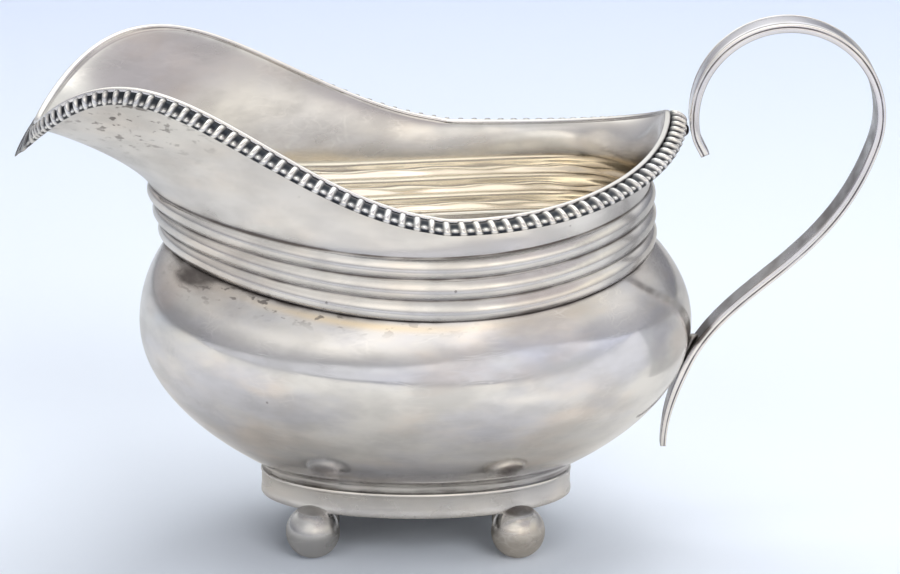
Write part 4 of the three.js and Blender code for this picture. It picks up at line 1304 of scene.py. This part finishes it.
def flat_sheet(name, x_range, y_range, z, tones, roughness=0.9):
    corners = [(x_range[0], y_range[0]), (x_range[1], y_range[0]), (x_range[1], y_range[1]),
               (x_range[0], y_range[1])]
    mesh = bpy.data.meshes.new(name)
    mesh.from_pydata([(x, y, z) for x, y in corners], [], [[0, 1, 2, 3]])
    sheet = bpy.data.objects.new(name, mesh)
    bpy.context.scene.collection.objects.link(sheet)
    paint = bpy.data.materials.new(name + " finish")
    paint.use_nodes = True
    shader = paint.node_tree.nodes["Principled BSDF"]
    shader.inputs["Base Color"].default_value = (*tones[0][1], 1)
    shader.inputs["Roughness"].default_value = roughness
    if len(tones) > 1:
        paint.node_tree.links.new(fade_along_y(paint.node_tree, tones), shader.inputs["Base Color"])
    mesh.materials.append(paint)
    return sheet


print("sheet helpers ready")

# %% Table and cards
TABLE_REACH, ROOM_REACH = 4, 3
# The mirrored paper ends here; the painted shadow along its edge reaches on to EDGE_FRONT and covers the back
# of the room's card
PAPER_FRONT, EDGE_FRONT, ROOM_BACK = -0.125, -0.142, -0.128
HANDLE_SIDE = 0.08
NEAR_PAPER, FAR_PAPER = (0.83, 0.885, 0.97), (0.69, 0.76, 0.9)
PAPER_TONES = [(PAPER_FRONT, (0.84, 0.82, 0.785)), (-0.05, (0.84, 0.82, 0.785)), (0.01, (0.74, 0.725, 0.70)),
               (0.06, (0.68, 0.68, 0.68)), (0.15, (0.63, 0.65, 0.68)), (0.6, (0.63, 0.65, 0.69))]
ROOM_TONES = [(-0.4, (0.80, 0.80, 0.83)), (-0.22, (0.68, 0.68, 0.72)), (ROOM_BACK, (0.68, 0.68, 0.72))]
# Each card: left and right, front and back, height in millimetres and tones
CARDS = {
    "table_card": ((-TABLE_REACH, TABLE_REACH), (PAPER_FRONT, TABLE_REACH), 0.2, PAPER_TONES),
    "room_card": ((-ROOM_REACH, ROOM_REACH), (-ROOM_REACH, ROOM_BACK), 0.4, ROOM_TONES),
    "handle_card": ((HANDLE_SIDE, TABLE_REACH), (0, TABLE_REACH), 0.3, [(0, (0.52, 0.51, 0.50))]),
    # A dark strip painted as the shadow along the paper's front edge, seen only in the metal
    "edge_shadow_card": ((-ROOM_REACH, ROOM_REACH), (EDGE_FRONT, PAPER_FRONT), 0.6, [(0, (0.38, 0.38, 0.41))]),
}
table = flat_sheet("table", (-TABLE_REACH, TABLE_REACH), (-TABLE_REACH, TABLE_REACH), 0,
                   [(-0.1, NEAR_PAPER), (0.15, NEAR_PAPER), (0.4, FAR_PAPER)], roughness=0.8)
table.visible_glossy = False
for name, (x_range, y_range, height, tones) in CARDS.items():
    card = flat_sheet(name, x_range, y_range, height * MM, tones)
    # Metal mirrors the card, though it isn't seen itself and casts no shade
    card.visible_camera = False
    card.visible_diffuse = False
    card.visible_shadow = False
    card.visible_transmission = False
print("table", 2 * TABLE_REACH, "m wide, with", len(CARDS), "cards on it")

# %% [markdown]
# ## Sky
# The sky is what the shoulders and the rim mirror: even above, darker near the horizon, with a few round
# patches that are brighter like soft boxes or darker like flags. One group measures how near a direction
# is to the middle of a patch, and each patch multiplies the sky by its tint.

# %% Sky
SKY_BASE = (0.90, 0.88, 0.85)
HORIZON_TINT = (0.50, 0.51, 0.56)
HORIZON_END = 26
# What the paper gets: less and bluer light than the metal mirrors, so that the lamps can draw a soft shadow
PAPER_SKY = (0.125, 0.136, 0.156)
# In degrees: azimuth from the viewer, elevation, radius where the patch is full and where it ends; then tint
SKY_PATCHES = [
    (-170, 56, 16, 58, (1.5, 1.53, 1.52)),
    (45, 52, 10, 34, (0.78, 0.75, 0.79)),
    (0, 90, 6, 17, (1.9, 1.87, 1.78)),
    (-85, 20, 14, 46, (0.76, 0.76, 0.77)),
    (150, 4, 8, 26, (0.62, 0.63, 0.66)),
    (30, 9, 12, 36, (1.55, 1.5, 1.42)),
    (-10, 25, 12, 34, (1.45, 1.42, 1.37)),
    (80, 14, 8, 30, (1.3, 1.26, 1.16)),
    (-55, 8, 10, 28, (1.25, 1.24, 1.23)),
]


def patch_group():
    """Mask of a round patch of sky, from the cosine of the angle to its middle."""
    group, inputs, outputs = open_group("sky patch", [("Direction", (0, 0, 1)), ("Middle", (0, 0, 1)),
                                                      ("Full", 1.0), ("End", 0.0)], ["Mask"])
    nearness = node(group, "ShaderNodeVectorMath", operation="DOT_PRODUCT")
    edge = node(group, "ShaderNodeMapRange", interpolation_type="SMOOTHERSTEP")
    group.links.new(inputs.outputs["Direction"], nearness.inputs[0])
    group.links.new(inputs.outputs["Middle"], nearness.inputs[1])
    group.links.new(nearness.outputs["Value"], edge.inputs["Value"])
    group.links.new(inputs.outputs["End"], edge.inputs["From Min"])
    group.links.new(inputs.outputs["Full"], edge.inputs["From Max"])
    group.links.new(edge.outputs["Result"], outputs.inputs["Mask"])
    return group


def sky_direction(azimuth, elevation):
    """Azimuth 0 is the viewer's side and turns towards the handle."""
    azimuth, elevation = math.radians(azimuth), math.radians(elevation)
    return (math.sin(azimuth) * math.cos(elevation), -math.cos(azimuth) * math.cos(elevation),
            math.sin(elevation))


def with_patch(tree, direction, tone, azimuth, elevation, full, end, tint):
    patch = node(tree, "ShaderNodeGroup", node_tree=SKY_PATCH)
    patch.inputs["Middle"].default_value = sky_direction(azimuth, elevation)
    patch.inputs["Full"].default_value = math.cos(math.radians(full))
    patch.inputs["End"].default_value = math.cos(math.radians(end))
    tree.links.new(direction, patch.inputs["Direction"])
    return blend(tree, patch.outputs["Mask"], tone, tint, "MULTIPLY")


SKY_PATCH = patch_group()
world = bpy.data.worlds.new("studio")
bpy.context.scene.world = world
world.use_nodes = True
sky = world.node_tree
direction = node(sky, "ShaderNodeTexCoord").outputs["Generated"]
height = node(sky, "ShaderNodeSeparateXYZ")
sky.links.new(direction, height.inputs["Vector"])
climb = spread(sky, height.outputs["Z"], 0, math.sin(math.radians(HORIZON_END)))
horizon = tuple(base * dim for base, dim in zip(SKY_BASE, HORIZON_TINT))
tone = blend(sky, climb, horizon, SKY_BASE)
for patch in SKY_PATCHES:
    tone = with_patch(sky, direction, tone, *patch)
mirrored = node(sky, "ShaderNodeLightPath").outputs["Is Glossy Ray"]
sky.links.new(blend(sky, mirrored, PAPER_SKY, tone), sky.nodes["Background"].inputs["Color"])
print("sky patches:", len(SKY_PATCHES))

# %% [markdown]
# ## Soft boxes
# Six soft boxes light the paper and draw the jug's soft shadow, which is darkest under the bowl. Those
# on the right are stronger. The metal doesn't mirror them, because the sky gives it better shaped
# highlights.

# %% Soft boxes
# Azimuth from the viewer and elevation in degrees, then watts
SOFT_BOXES = {"back_left": (-150, 60, 7.7), "back_right": (150, 60, 14), "overhead": (0, 88, 11.6),
              "front_left": (-30, 33, 5.3), "front_right": (30, 33, 15.4), "right": (90, 30, 7.4)}
BOX_DISTANCE = 2.0
BOX_SIZE = 1.2
for name, (azimuth, elevation, watts) in SOFT_BOXES.items():
    data = bpy.data.lights.new(name, "AREA")
    data.size = BOX_SIZE
    data.energy = watts
    box = bpy.data.objects.new(name, data)
    bpy.context.scene.collection.objects.link(box)
    box.location = BOX_DISTANCE * Vector(sky_direction(azimuth, elevation))
    box.visible_glossy = False
    aim(box, CAMERA_AIM)
bpy.context.scene.view_settings.view_transform = "Standard"
print("soft boxes:", len(SOFT_BOXES), "with", round(sum(box[2] for box in SOFT_BOXES.values()), 1), "W")

# %% [markdown]
# ## Finish

# %% Finish
print("script finished")
